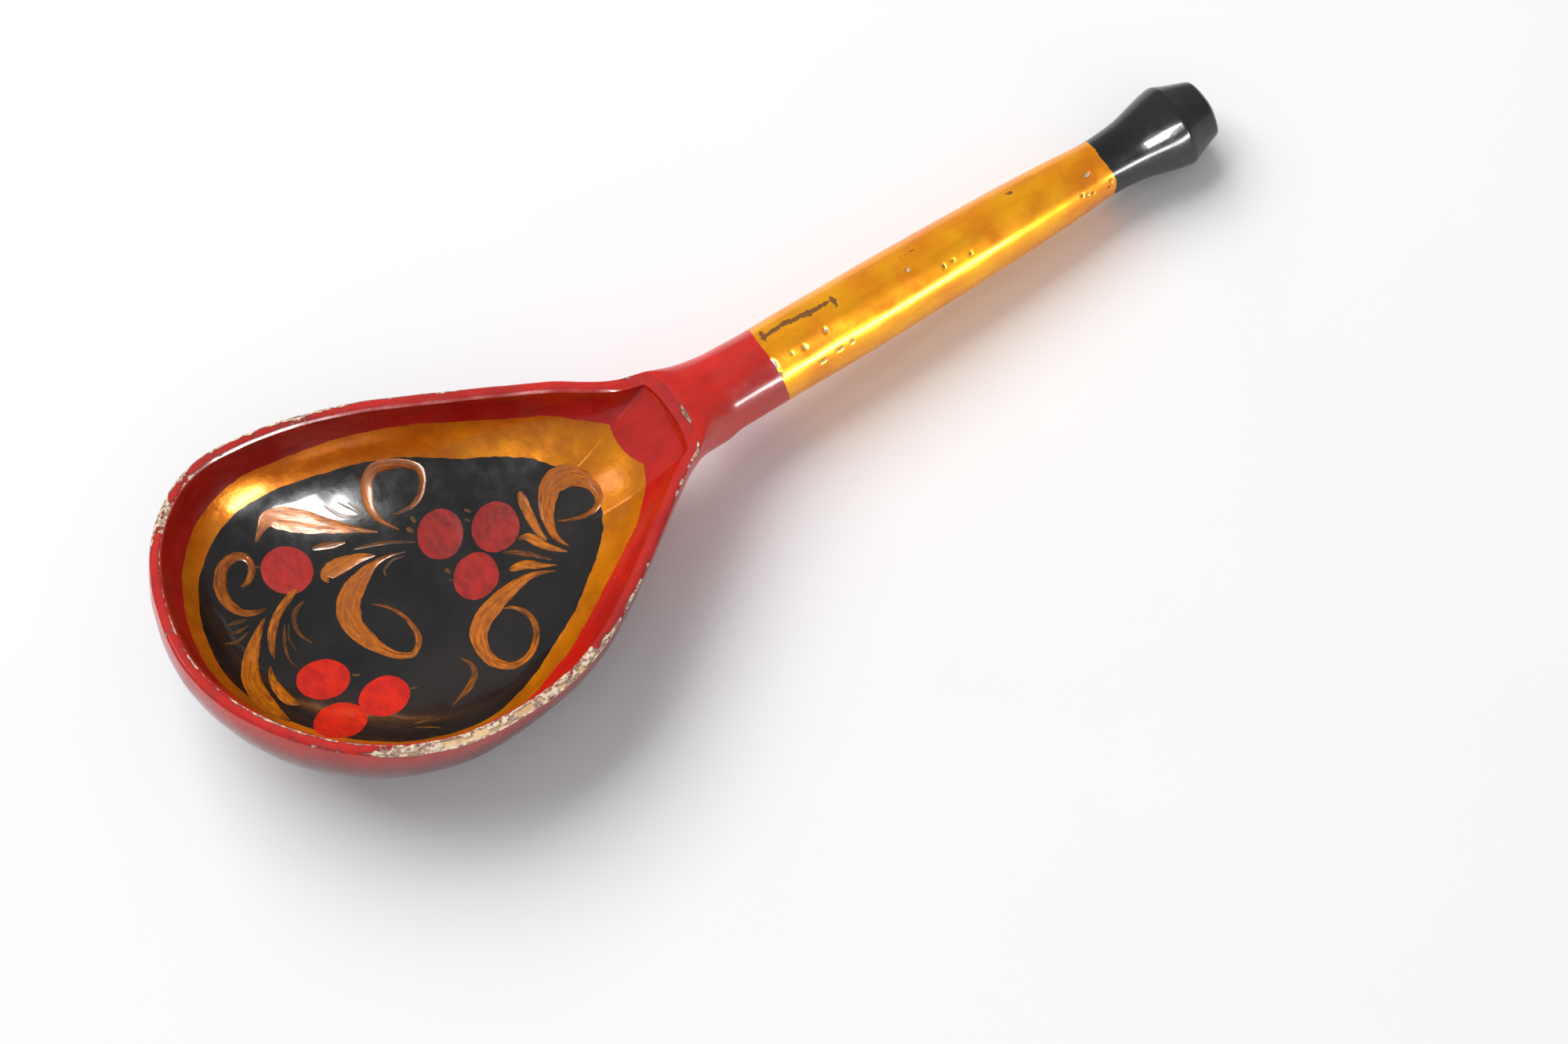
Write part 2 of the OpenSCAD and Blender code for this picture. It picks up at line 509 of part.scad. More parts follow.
module fine_tendrils() {
    color("olive") {
        stroke([[35.1, 18.8, 0.3], [32.5, 20.4, 0.5], [31.3, 22.2, 0.5], [30.8, 23.2, 0.2]]);
        stroke([[35.3, 19, 0.2], [33.8, 21.3, 0.3], [32.9, 22.6, 0.1]]);
        stroke([[35.7, 19, 0.2], [34.8, 20.9, 0.4], [34.4, 21.7, 0.2]]);
        stroke([[37.5, 9.6, 0.2], [35.6, 10.1, 0.4], [33.8, 9.4, 0.5], [33.3, 8.1, 0.2]]);
        stroke([[10.2, 12, 0.2], [8.8, 12, 0.7], [7.2, 11.7, 0.3]]);
        stroke([[9.9, 10.9, 0.2], [8, 10.3, 0.6], [6.6, 10.6, 0.3]]);
        stroke([[9.4, 9.8, 0.3], [7.2, 8.6, 0.6], [5.5, 8.7, 0.2]]);
        stroke([[15.5, 8.7, 0.2], [14.4, 6.4, 0.4], [14.4, 3.7, 0.2]]);
        stroke([[24.7, -19.3, 0.3], [26.7, -19.9, 0.5], [28.5, -20.9, 0.4]]);
        stroke([[24.4, -20.3, 0.3], [26.4, -21.5, 0.4], [28, -23, 0.3]]);
        stroke([[42.2, 14.2, 0.7], [42.3, 13, 0.7]]);
        stroke([[40.5, 13.2, 0.8], [41.2, 12, 0.6]]);
        stroke([[50.4, 9.6, 0.6], [51.1, 8.6, 0.5]]);
        stroke([[49.6, 8.2, 0.5], [50.3, 7.5, 0.4]]);
        stroke([[42.3, 3.5, 0.7], [42.8, 2.5, 0.6]]);
        stroke([[41.7, 1.7, 0.4], [42.4, 1.2, 0.4]]);
        stroke([[15.5, 20, 0.3], [16.6, 19.4, 0.3]]);
        stroke([[20.2, -4.7, 0.4], [21.2, -5.2, 0.5]]);
        stroke([[27.1, -12.2, 0.5], [28.2, -12.8, 0.4]]);
    }
}

wood_body();
red_outer_coat();
red_inner_band();
gold_border();
black_ground();
gold_handle_coat();
black_finial_coat();
left_berry();
middle_berries();
front_berries();
leaf_strokes();
curl_strokes();
stem_strokes();
fine_tendrils();
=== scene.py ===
"""Painted wooden spoon: a carved blank under coats of lacquer, with painted berries and curls.

Lengths are millimetres until a mesh is made. Inside the formulas X is the distance from the bowl's tip
along the handle's line, Y is the left side and Z is up.
"""

import math

import bpy
import numpy as np
from mathutils import Matrix, Vector, noise


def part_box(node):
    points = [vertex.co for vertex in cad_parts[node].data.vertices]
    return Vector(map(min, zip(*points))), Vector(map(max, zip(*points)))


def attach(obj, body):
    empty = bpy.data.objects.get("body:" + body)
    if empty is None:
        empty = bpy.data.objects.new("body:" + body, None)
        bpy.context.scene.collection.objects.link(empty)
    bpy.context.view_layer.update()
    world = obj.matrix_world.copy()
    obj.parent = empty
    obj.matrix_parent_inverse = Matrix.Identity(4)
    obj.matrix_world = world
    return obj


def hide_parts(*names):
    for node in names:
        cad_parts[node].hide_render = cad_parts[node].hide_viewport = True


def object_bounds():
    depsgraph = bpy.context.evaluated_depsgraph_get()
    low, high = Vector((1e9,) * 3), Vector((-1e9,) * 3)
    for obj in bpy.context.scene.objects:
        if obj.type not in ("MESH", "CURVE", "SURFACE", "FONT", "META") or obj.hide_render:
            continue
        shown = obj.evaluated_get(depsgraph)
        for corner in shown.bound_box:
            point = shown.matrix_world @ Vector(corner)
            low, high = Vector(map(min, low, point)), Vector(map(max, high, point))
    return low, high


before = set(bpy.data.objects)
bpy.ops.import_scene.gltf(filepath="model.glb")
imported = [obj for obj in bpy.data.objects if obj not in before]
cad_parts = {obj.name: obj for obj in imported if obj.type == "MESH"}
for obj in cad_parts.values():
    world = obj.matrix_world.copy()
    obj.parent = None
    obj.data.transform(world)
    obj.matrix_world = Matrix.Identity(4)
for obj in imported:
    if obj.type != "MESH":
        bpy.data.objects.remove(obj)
CAD_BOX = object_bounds()

MM = 0.001
LENGTH = 195.8
COAT = 0.3
CREST_AT = 86.0
LEFT_PEAK = 22.0
LEFT_HALF = 31.5
LEFT_PINCH = 2.0
RIGHT_PEAK = 36.0
RIGHT_HALF = 33.8
TIP_SKEW = 5.0
RIM_W = 2.0
RIM_ROUND = 0.4
RIM_TIP_Z = 27.0
RIM_FALL = 5.4
CREST_CROWN = 0.6
CREST_BOW = 2.0
CREST_DROP = 0.45
SHOULDER_REACH = 20.0
ROUND_BESIDE = 22
ROUND_DOWN = 24.0
WALL_BULGE = 3.0
KEEL_AT = 30.0
KEEL_END = 80.0
FLOOR_Z = 4.0
NECK_AT = 97.0
NECK_R = 6.9
NECK_Z = 13.1
NECK_LOW_Z = NECK_Z - NECK_R
HANDLE_R = 6.8
RED_GOLD_AT = 106.0
GOLD_BLACK_AT = 173.5
FLARE_AT = GOLD_BLACK_AT + 4
GIRDLE_AT = 188.5
GIRDLE_R = 7.85
END_AT = 194.7
FLATS = 6
FLATNESS = 0.35
MID = np.array([36.0, 0.5])
HANDLE_OUTLINE = [(97, 6.9), (125, 6.95), (140, 6.65), (155, 6.3), (166, 5.7), (173.5, 5.1),
                  (180, 5.7), (185, 7), (188.5, 7.85), (194.7, 5.6), (195.4, 4.2), (195.8, 0.9)]
GOLD_EDGE = [(-180, 77), (-150, 70), (-120, 67), (-90, 61), (-60, 55), (-35, 57),
             (0, 66), (20, 69), (60, 74), (110, 73), (150, 75)]
BLACK_EDGE = [(-180, 68), (-150, 62.5), (-120, 59), (-90, 53), (-60, 46), (-30, 48),
              (0, 47.5), (20, 51), (60, 56), (110, 59.5), (150, 66.5)]
BITE = (89.5, 1.6, 12.0)

# Fineness: stations along the bowl, points across the underside, the crest and a finely cut rim
BOWL_N = 320
UNDER_N = 96
CREST_N = 64
RIM_N = 1600
# Rows of faces on the rim, down the hollow and along the neck and handle
RIM_ROWS = 8
RED_ROWS = 26
GOLD_ROWS = 12
BLACK_ROWS = 36
NECK_ROWS = 32
RED_NECK_ROWS = 24
HANDLE_ROWS = 230
# Points around a berry and steps between two points of a stroke
BERRY_N = 72
STROKE_STEPS = 14

# Vector noise starts from the clock unless it has a seed
noise.seed_set(1)

# The finial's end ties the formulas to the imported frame
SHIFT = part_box("black_finial_coat")[1].x / MM - LENGTH


# ---------------------------------------------------------------- small helpers
def smooth(t):
    c = np.clip(t, 0, 1)
    return c * c * (3 - 2 * c)


def power(v, p):
    return np.sign(v) * np.abs(v) ** p


def around(pairs, angle):
    """Smooth closed curve through (direction, value) pairs."""
    a = np.array([p[0] for p in pairs], float)
    v = np.array([p[1] for p in pairs], float)
    n = len(pairs)
    i = np.searchsorted(a, angle, side="right") - 1
    nxt = (i + 1) % n
    start = a[i]
    end = np.where(i + 1 < n, a[nxt], a[0] + 360)
    t = (angle - start) / (end - start)
    p0, p1, p2, p3 = v[(i - 1) % n], v[i], v[nxt], v[(i + 2) % n]
    return 0.5 * (2 * p1 + (p2 - p0) * t + (2 * p0 - 5 * p1 + 4 * p2 - p3) * t ** 2
                  + (3 * p1 - p0 - 3 * p2 + p3) * t ** 3)


def grain(points, size, seed):
    """Smooth noise from -1 to 1 at each point; size is the width of its blobs."""
    flat = (np.asarray(points, float).reshape(-1, 3) / size + seed * 17.3).tolist()
    values = np.array([noise.noise(Vector(p)) for p in flat])
    return values.reshape(np.shape(points)[:-1])


def wobble(points):
    """The hand-carved unevenness that every surface shares; the turned handle has less of it."""
    flat = np.asarray(points, float).reshape(-1, 3)
    slow = np.array([noise.noise_vector(Vector(p)) for p in (flat / 15 + 3.1).tolist()])
    fast = np.array([noise.noise_vector(Vector(p)) for p in (flat / 5 + 8.7).tolist()])
    share = 1 - 0.7 * smooth((flat[:, :1] - 84) / 20)
    return (flat + share * (0.28 * slow + 0.07 * fast)).reshape(np.shape(points))


def to_frame(points):
    """Millimetres along the handle's line to metres in the frame, kept inside the CAD box."""
    moved = wobble(points) + np.array([SHIFT, 0, 0])
    return np.clip(moved * MM, np.array(CAD_BOX[0]), np.array(CAD_BOX[1]))


# ---------------------------------------------------------------- rim
def skew(s):
    return np.where(s < 60, TIP_SKEW * (1 - s / 60) ** 2, 0.0)


def side_w(s, peak, half, p, end, a):
    near = half * np.maximum(0, 1 - np.maximum(0, (peak - s) / peak) ** p) ** (1 / p)
    t = np.clip((s - peak) / (end - peak), 0, 1)
    far = NECK_R + (half - NECK_R) * (1 + np.cos(np.pi * t ** a)) / 2
    return np.where(s <= peak, near, far)


def left_w(s):
    pinch = LEFT_PINCH * smooth((s - 72) / 12) * (1 - smooth((s - CREST_AT) / 9))
    return side_w(s, LEFT_PEAK, LEFT_HALF, 2, NECK_AT - 2, 1.15) - pinch


def right_w(s):
    return side_w(s, RIGHT_PEAK, RIGHT_HALF, 1.85, NECK_AT, 1.3)


def rim_z(s):
    return RIM_TIP_Z - RIM_FALL * s / CREST_AT


STATIONS = CREST_AT * (1 - np.cos(np.pi * np.arange(BOWL_N + 1) / BOWL_N)) / 2
LOOP_N = 2 * BOWL_N + CREST_N


def side_line(sign):
    half = left_w(STATIONS) if sign > 0 else right_w(STATIONS)
    return np.stack([STATIONS, skew(STATIONS) + sign * half, rim_z(STATIONS)], 1)


def rim_loop():
    left, right = side_line(1), side_line(-1)
    turn = np.pi * np.arange(1, CREST_N) / CREST_N
    t = ((1 - np.cos(turn)) / 2)[:, None]
    crest = left[-1] + (right[-1] - left[-1]) * t
    crest[:, 0] += CREST_BOW * np.sin(turn)
    crest[:, 2] += CREST_CROWN * np.sin(turn)
    return np.concatenate([right[::-1], left[1:], crest])


def outward(loop, reach=2.2):
    """Plan normals of the rim line, averaged over a short length so that corners stay clean."""
    step = np.roll(loop, -1, 0)[:, :2] - np.roll(loop, 1, 0)[:, :2]
    step /= np.linalg.norm(step, axis=1)[:, None]
    normal = np.stack([-step[:, 1], step[:, 0]], 1)
    length = np.linalg.norm(loop - np.roll(loop, 1, 0), axis=1)
    place = np.cumsum(length)
    total = place[-1]
    even = np.linspace(0, total, RIM_N, endpoint=False)
    line = np.stack([np.interp(even, place, normal[:, k], period=total) for k in (0, 1)], 1)
    width = int(reach / total * RIM_N)
    weights = np.hanning(2 * width + 3)[1:-1]
    spread = sum(w * np.roll(line, k - width, 0) for k, w in enumerate(weights))
    out = np.stack([np.interp(place, even, spread[:, k], period=total) for k in (0, 1)], 1)
    out /= np.linalg.norm(out, axis=1)[:, None]
    return np.concatenate([out, np.zeros((len(loop), 1))], 1)


RIM = rim_loop()
RIM_OUT = outward(RIM)


def rim_edge(d, deep):
    """The rim's top at d outwards from its middle line; it is rounded towards both edges.

    At the crest it slopes into the bowl, and its outer edge runs into the neck.
    """
    crest = smooth((RIM[:, 0] - 79) / 6)
    slope = CREST_DROP * (0.5 - d / RIM_W) ** 1.3
    drop = deep + (1 - crest) * RIM_ROUND * np.abs(d / (RIM_W / 2)) ** 2.4 + crest * slope
    return RIM + RIM_OUT * d - np.stack([0 * drop, 0 * drop, drop], 1)


def outer_edge(deep):
    return rim_edge(RIM_W / 2 - deep, deep)


def inner_edge(deep):
    return rim_edge(deep - RIM_W / 2, deep)


# ---------------------------------------------------------------- outside
def keel_z(s, deep):
    k = np.clip((KEEL_AT - s) / (KEEL_AT + RIM_W / 2 - deep), 0, 1)
    front = deep + (RIM_TIP_Z - 2 * deep) * (1 - (1 - k ** 2.3) ** (1 / 2.3))
    rise = np.clip((s - KEEL_AT) / (KEEL_END - KEEL_AT), 0, 1)
    back = deep + NECK_LOW_Z * (1 - np.cos(np.pi * rise)) / 2
    return np.where(s < KEEL_AT, front, back)


def fullness(s):
    return 2.2 - 0.55 * smooth((s - 30) / 50)


def under_turn():
    j = np.arange(UNDER_N + 1) / UNDER_N
    return np.pi * (0.45 * j + 0.55 * (1 - np.cos(np.pi * j)) / 2)


def bowl_rows(deep):
    """Open rows across the underside, from the left rim to the right rim, one per station."""
    edge = outer_edge(deep)
    a, b = edge[BOWL_N:2 * BOWL_N + 1], edge[:BOWL_N + 1][::-1]
    mid, half = (a + b) / 2, (a - b) / 2
    depth = mid[:, 2] - keel_z(mid[:, 0], deep)
    e = (2 / fullness(mid[:, 0]))[:, None]
    u = under_turn()[None, :]
    across = power(np.cos(u), e)
    down = depth[:, None] * np.maximum(0, np.sin(u)) ** e
    rows = mid[:, None, :] + half[:, None, :] * across[..., None]
    rows[..., 2] -= down
    top = mid[:, 2][:, None]
    drop = (top - rows[..., 2]) / top
    away = rows[..., :2] - MID
    away /= np.maximum(1e-9, np.linalg.norm(away, axis=-1))[..., None]
    swell = WALL_BULGE * smooth((48 - rows[..., 0]) / 43) * np.sin(np.radians(225 * drop))
    rows[..., :2] += away * np.where(drop < 0.8, swell, 0)[..., None]
    return rows


def crest_ring(deep, rows):
    edge = outer_edge(deep)
    return np.concatenate([rows[-1], edge[:-CREST_N:-1]])


def ring_turn():
    over = np.pi + np.pi * np.arange(1, CREST_N) / CREST_N
    return np.concatenate([under_turn(), over])


def shoulder(s):
    """Squareness of the upper half: flat with shoulders at the crest, round along the neck."""
    return 3 - smooth((s - CREST_AT) / SHOULDER_REACH)


def neck_formula(s, deep):
    u = ring_turn()
    t = (s - CREST_AT) / (NECK_AT - CREST_AT)
    b, sink = smooth(t), smooth(1.25 * t)
    edge = (1 - t) * RIM_W / 2
    wl = left_w(s) + edge - deep
    wr = right_w(s) + edge - deep
    crest_z = rim_z(CREST_AT) - deep
    mid_z = crest_z + (NECK_Z - crest_z) * sink
    top_z = crest_z + CREST_CROWN + (NECK_Z + NECK_R - deep - crest_z - CREST_CROWN) * b
    low = mid_z - keel_z(np.array(s), deep)
    m = np.where(np.sin(u) > 0, fullness(s) + (2 - fullness(s)) * b, shoulder(s))
    c = power(np.cos(u), 2 / m)
    v = power(np.sin(u), 2 / m)
    bow = (1 - t) * (CREST_BOW + edge)
    return np.stack([s + bow * np.maximum(0, -v), (wl - wr) / 2 + (wl + wr) / 2 * c,
                     mid_z - np.where(v > 0, low, top_z - mid_z) * v], 1)


def neck_rows(deep, ring):
    """Rows from the crest to the round neck; the first one is the crest ring itself."""
    gap = ring - neck_formula(CREST_AT, deep)
    rows = []
    for t in np.linspace(0, 1, NECK_ROWS + 1):
        s = CREST_AT + (NECK_AT - CREST_AT) * t
        rows.append(neck_formula(s, deep) + gap * (1 - t) ** 3)
    return np.array(rows)


def axis_z(s):
    return GIRDLE_R + (NECK_Z - GIRDLE_R) * (GIRDLE_AT - s) / (GIRDLE_AT - NECK_AT)


def handle_r(s):
    at = np.array([p[0] for p in HANDLE_OUTLINE], float)
    r = np.array([p[1] for p in HANDLE_OUTLINE], float)
    reach = (0.3 + 2.7 * smooth((186 - s) / 14)) * np.clip((LENGTH - s) / 0.8, 0, 1)
    spots = np.linspace(-1, 1, 9)
    return sum(np.interp(s + q * reach, at, r) for q in spots) / len(spots)


def facet(u, amount):
    """Flats with softened corners around the finial's chamfer."""
    w = 2 * np.pi / FLATS
    v = np.mod(u, w) - w / 2
    crisp = np.cos(w / 2) / np.cos(v)
    soft = 1 - (1 - np.cos(w / 2)) * (0.5 + 0.5 * np.cos(FLATS * v))
    return 1 - amount + amount * (0.35 * crisp + 0.65 * soft)


def round_ring(s, deep):
    """One ring of the handle; s may differ from point to point."""
    u = ring_turn()
    s = np.broadcast_to(s, u.shape)
    flat = FLATNESS * smooth((s - GIRDLE_AT + 3) / 6)
    r = np.maximum(0.02, (handle_r(s) - deep) * facet(u, flat))
    m = np.where(np.sin(u) > 0, 2.0, shoulder(s))
    return np.stack([s, r * power(np.cos(u), 2 / m), axis_z(s) - r * power(np.sin(u), 2 / m)], 1)


def ragged(at, seed, amount):
    """The brushed edge between two coats around the handle."""
    u = ring_turn()
    circle = np.stack([np.cos(u) * 6, np.sin(u) * 6, np.full(len(u), at)], 1)
    return at + amount * grain(circle, 3.5, seed) + 0.4 * amount * grain(circle, 0.9, seed + 1)


GOLD_START = ragged(RED_GOLD_AT, 31, 0.25)
GOLD_END = ragged(GOLD_BLACK_AT, 33, 0.45)


def spread_rows(start, end, n, deep):
    """Rings of the handle from start to end, both of which may differ around the turn."""
    return np.array([round_ring(start + (end - start) * t, deep)
                     for t in np.linspace(0, 1, n + 1)])


# ---------------------------------------------------------------- inside
def plan_angle(p):
    return np.degrees(np.arctan2(p[..., 1] - MID[1], p[..., 0] - MID[0]))


def hollow_power(angle):
    return 2.2 - 0.5 * np.maximum(0, np.cos(np.radians(angle))) ** 2


INNER = inner_edge(0.0)
INNER_ANGLE = plan_angle(INNER)
INNER_REACH = np.linalg.norm(INNER[:, :2] - MID, axis=1)
ORDER = np.argsort(INNER_ANGLE)


def inner_reach(a):
    return np.interp(a, INNER_ANGLE[ORDER], INNER_REACH[ORDER], period=360)


def round_reach(a):
    """The reach of the inner edge, averaged over the directions beside it."""
    beside = np.arange(-ROUND_BESIDE, ROUND_BESIDE + 1)
    shares = ROUND_BESIDE + 1 - np.abs(beside)
    return sum(k * inner_reach(a + d) for k, d in zip(shares, beside)) / shares.sum()


def wall_point(p, w, deep):
    """w is the place on the wall in degrees: 90 is the rim and 0 is the floor's middle.

    The rim's corners beside the crest round off on the way down.
    """
    a = plan_angle(p)
    e = 2 / hollow_power(a)
    rounding = 1 + (round_reach(a) / inner_reach(a) - 1) * smooth((90 - w) / ROUND_DOWN)
    w = np.radians(w)
    t = np.maximum(0, np.sin(w)) ** e * rounding
    low = FLOOR_Z - deep
    rise = 1 - np.maximum(0, np.cos(w)) ** e
    return np.stack([MID[0] + t * (p[:, 0] - MID[0]), MID[1] + t * (p[:, 1] - MID[1]),
                     low + (p[:, 2] - low) * rise], 1)


def brushed(p, seed, amount):
    spot = np.stack([p[:, 0], p[:, 1], np.full(len(p), 5.0)], 1)
    return amount * (grain(spot, 7, seed) + 0.5 * grain(spot, 2, seed + 1))


def gold_wall(p):
    a = plan_angle(p)
    dx, dy = BITE[0] - MID[0], BITE[1] - MID[1]
    ca, sa = np.cos(np.radians(a)), np.sin(np.radians(a))
    along, off = dx * ca + dy * sa, dx * sa - dy * ca
    inside = (np.abs(off) < BITE[2]) & (along > 0)
    bite = np.where(inside, along - np.sqrt(np.maximum(0, BITE[2] ** 2 - off ** 2)), 1e3)
    t = np.minimum(1, bite / round_reach(a))
    ogee = np.degrees(np.arcsin(t ** (hollow_power(a) / 2)))
    return np.minimum(around(GOLD_EDGE, a) + brushed(p, 11, 0.9), ogee)


def black_wall(p):
    return around(BLACK_EDGE, plan_angle(p)) + brushed(p, 14, 0.8)


def wall_rows(deep, start, end, n, bias=1.0):
    p = inner_edge(deep)
    return np.array([wall_point(p, start + (end - start) * t ** bias, deep)
                     for t in np.linspace(0, 1, n + 1)])


def rim_rows(deep):
    d0, d1 = RIM_W / 2 - deep, deep - RIM_W / 2
    return np.array([rim_edge(d0 + (d1 - d0) * t, deep) for t in np.linspace(0, 1, RIM_ROWS + 1)])


def inside_z(s, y):
    """Height of the finished inside at a place in plan."""
    a = np.degrees(np.arctan2(y - MID[1], s - MID[0]))
    far = round_reach(a)
    top = np.interp(a, INNER_ANGLE[ORDER], INNER[ORDER, 2], period=360)
    t = np.clip(np.hypot(s - MID[0], y - MID[1]) / far, 0, 1)
    n = hollow_power(a)
    return FLOOR_Z + (top - FLOOR_Z) * (1 - (1 - t ** n) ** (1 / n))


# ---------------------------------------------------------------- meshes
def quads_of(rows, cols, closed):
    r = np.arange(rows - 1)[:, None]
    c = np.arange(cols if closed else cols - 1)[None, :]
    n = (c + 1) % cols
    return np.stack([r * cols + c, r * cols + n, (r + 1) * cols + n, (r + 1) * cols + c], -1)


def joined(patches):
    """Grids that share an edge, as one list of points, marks and quads."""
    points, lows, marks, quads = [], [], [], []
    start = 0
    for top, low, mark, closed, keep in patches:
        q = quads_of(top.shape[0], top.shape[1], closed)
        q = q.reshape(-1, 4) if keep is None else q[keep]
        quads.append(q + start)
        points.append(top.reshape(-1, 3))
        lows.append(low.reshape(-1, 3))
        marks.append(mark.reshape(len(points[-1]), -1))
        start += len(points[-1])
    points, lows = np.concatenate(points), np.concatenate(lows)
    marks, quads = np.concatenate(marks), np.concatenate(quads)
    _, first, index = np.unique(np.round(points, 4), axis=0, return_index=True,
                                return_inverse=True)
    quads = index.reshape(-1)[quads]
    used, quads = np.unique(quads, return_inverse=True)
    quads = quads.reshape(-1, 4)
    return points[first][used], lows[first][used], marks[first][used], quads


def tidy_faces(quads):
    faces = []
    for q in quads.tolist():
        face = [v for i, v in enumerate(q) if v != q[i - 1]]
        if len(face) > 2:
            faces.append(face)
    return faces


def make_object(name, points, faces, marks=None, names=()):
    mesh = bpy.data.meshes.new(name)
    mesh.from_pydata(to_frame(points).tolist(), [], faces)
    for k, label in enumerate(names):
        layer = mesh.attributes.new(label, "FLOAT", "POINT")
        layer.data.foreach_set("value", np.ascontiguousarray(marks[:, k], dtype=np.float32))
    mesh.polygons.foreach_set("use_smooth", np.ones(len(mesh.polygons), bool))
    mesh.set_sharp_from_angle(angle=math.radians(42))
    mesh.update()
    obj = bpy.data.objects.new(name, mesh)
    bpy.context.scene.collection.objects.link(obj)
    return obj


def shell(name, patches, names=()):
    """A closed coat between the finished surface and the surface under it, holes included."""
    top, low, marks, quads = joined(patches)
    n = len(top)
    faces = tidy_faces(quads)
    under = [[v + n for v in reversed(f)] for f in faces]
    edges = {}
    for f in faces:
        for i, v in enumerate(f):
            edges[(f[i - 1], v)] = True
    walls = [[v, u, u + n, v + n] for u, v in edges if (v, u) not in edges]
    points = np.concatenate([top, low])
    marks = np.concatenate([marks, marks])
    return make_object(name, points, faces + under + walls, marks, names)


def no_mark(grid):
    return np.zeros(grid.shape[:2] + (1,))


# ---------------------------------------------------------------- wear
# Share of bare rim by direction around the bowl: whole top, outer edge, inner edge
TOP_WEAR = [(-180, 0.1), (-152, 0.15), (-128, 0.3), (-117, 0.82), (-95, 0.94), (-75, 0.86),
            (-60, 0.62), (-50, 0.35), (-30, 0.1), (-10, 0.1), (20, 0.05), (40, 0.2), (60, 0.2),
            (78, 0.35), (92, 0.7), (104, 0.45), (122, 0.35), (134, 0.75), (146, 0.2)]
OUTER_WEAR = [(-180, 0.3), (-150, 0.35), (-120, 0.45), (-60, 0.5), (-42, 0.75), (-30, 0.45),
              (-18, 0.65), (-9, 0.7), (5, 0.5), (20, 0.35), (45, 0.6), (80, 0.5), (120, 0.45),
              (150, 0.4)]
INNER_WEAR = [(-180, 0.72), (-150, 0.75), (-128, 0.6), (-90, 0.45), (-55, 0.3), (-20, 0.1),
              (40, 0.1), (90, 0.35), (130, 0.6), (160, 0.72)]
BARE = 0.86
FAR_FROM_RIM = 20.0


def rim_wear(points, q):
    """How worn the red coat is; q is the way from the rim's outer edge towards the inside."""
    a = plan_angle(points)
    flat = smooth((q + 0.35) / 0.5) * smooth((RIM_W + 0.25 - q) / 0.5)
    outer = np.exp(-((q - 0.15) / 0.42) ** 2)
    inner = np.exp(-((q - RIM_W + 0.15) / 0.3) ** 2)
    worn = around(TOP_WEAR, a) * flat + around(OUTER_WEAR, a) * outer
    worn = np.maximum(worn, around(INNER_WEAR, a) * inner + 0.4 * around(TOP_WEAR, a) * flat)
    rough = 0.34 * grain(points, 2.6, 21) + 0.3 * grain(points, 0.9, 22)
    fade = np.exp(-(np.maximum(0, q - RIM_W) / 1.2) ** 2 - (np.minimum(0, q) / 1.6) ** 2)
    return (worn + rough) * fade


def whole(mark):
    """Which quads stay: those with no corner in a bare place."""
    bare = mark > BARE
    hit = bare[:-1] & np.roll(bare, -1, 1)[:-1] & bare[1:] & np.roll(bare, -1, 1)[1:]
    return ~hit


# ---------------------------------------------------------------- red outer coat
def outside_grids(deep):
    rows = bowl_rows(deep)
    neck = neck_rows(deep, crest_ring(deep, rows))
    red = spread_rows(NECK_AT, GOLD_START, RED_NECK_ROWS, deep)
    return rows, np.concatenate([neck, red[1:]])


def way_down(rows):
    """Distance from the rim's outer edge down the outer wall, negative as rim_wear wants."""
    step = np.linalg.norm(np.diff(rows, axis=1), axis=-1)
    down = np.concatenate([np.zeros((len(rows), 1)), np.cumsum(step, axis=1)], 1)
    return -np.minimum(down, down[:, -1:] - down)


TOP_BOWL, TOP_NECK = outside_grids(0.0)
LOW_BOWL, LOW_NECK = outside_grids(COAT)
bowl_worn = rim_wear(TOP_BOWL, way_down(TOP_BOWL))
crest_q = np.full(TOP_NECK.shape[:2], -FAR_FROM_RIM)
crest_way = np.concatenate([[0], np.cumsum(np.linalg.norm(
    np.diff(TOP_NECK[:, UNDER_N + CREST_N // 2], axis=0), axis=-1))])
crest_q[:, UNDER_N:] = -crest_way[:, None]
crest_q[:, 0] = -crest_way
neck_worn = rim_wear(TOP_NECK, crest_q)
neck_worn[0, :UNDER_N + 1] = bowl_worn[-1]
outer_coat = shell("red_outer_lacquer", [
    (TOP_BOWL, LOW_BOWL, bowl_worn, False, whole(bowl_worn)[:, :-1]),
    (TOP_NECK, LOW_NECK, neck_worn, True, whole(neck_worn))], ["worn"])

# ---------------------------------------------------------------- red inner band
RIM_TOP, RIM_LOW = rim_rows(0.0), rim_rows(COAT)
GOLD_TOP, GOLD_LOW = gold_wall(inner_edge(0.0)), gold_wall(inner_edge(COAT))
BLACK_TOP, BLACK_LOW = black_wall(inner_edge(0.0)), black_wall(inner_edge(COAT))
WALL_TOP = wall_rows(0.0, 90, GOLD_TOP, RED_ROWS, 1.4)
WALL_LOW = wall_rows(COAT, 90, GOLD_LOW, RED_ROWS, 1.4)
band_top = np.concatenate([RIM_TOP, WALL_TOP[1:]])
band_low = np.concatenate([RIM_LOW, WALL_LOW[1:]])
band_q = np.concatenate([[np.zeros(LOOP_N)],
                         np.cumsum(np.linalg.norm(np.diff(band_top, axis=0), axis=-1), axis=0)])
band_worn = rim_wear(band_top, band_q)
inner_band = shell("red_inner_lacquer", [
    (band_top, band_low, band_worn, True, whole(band_worn))], ["worn"])

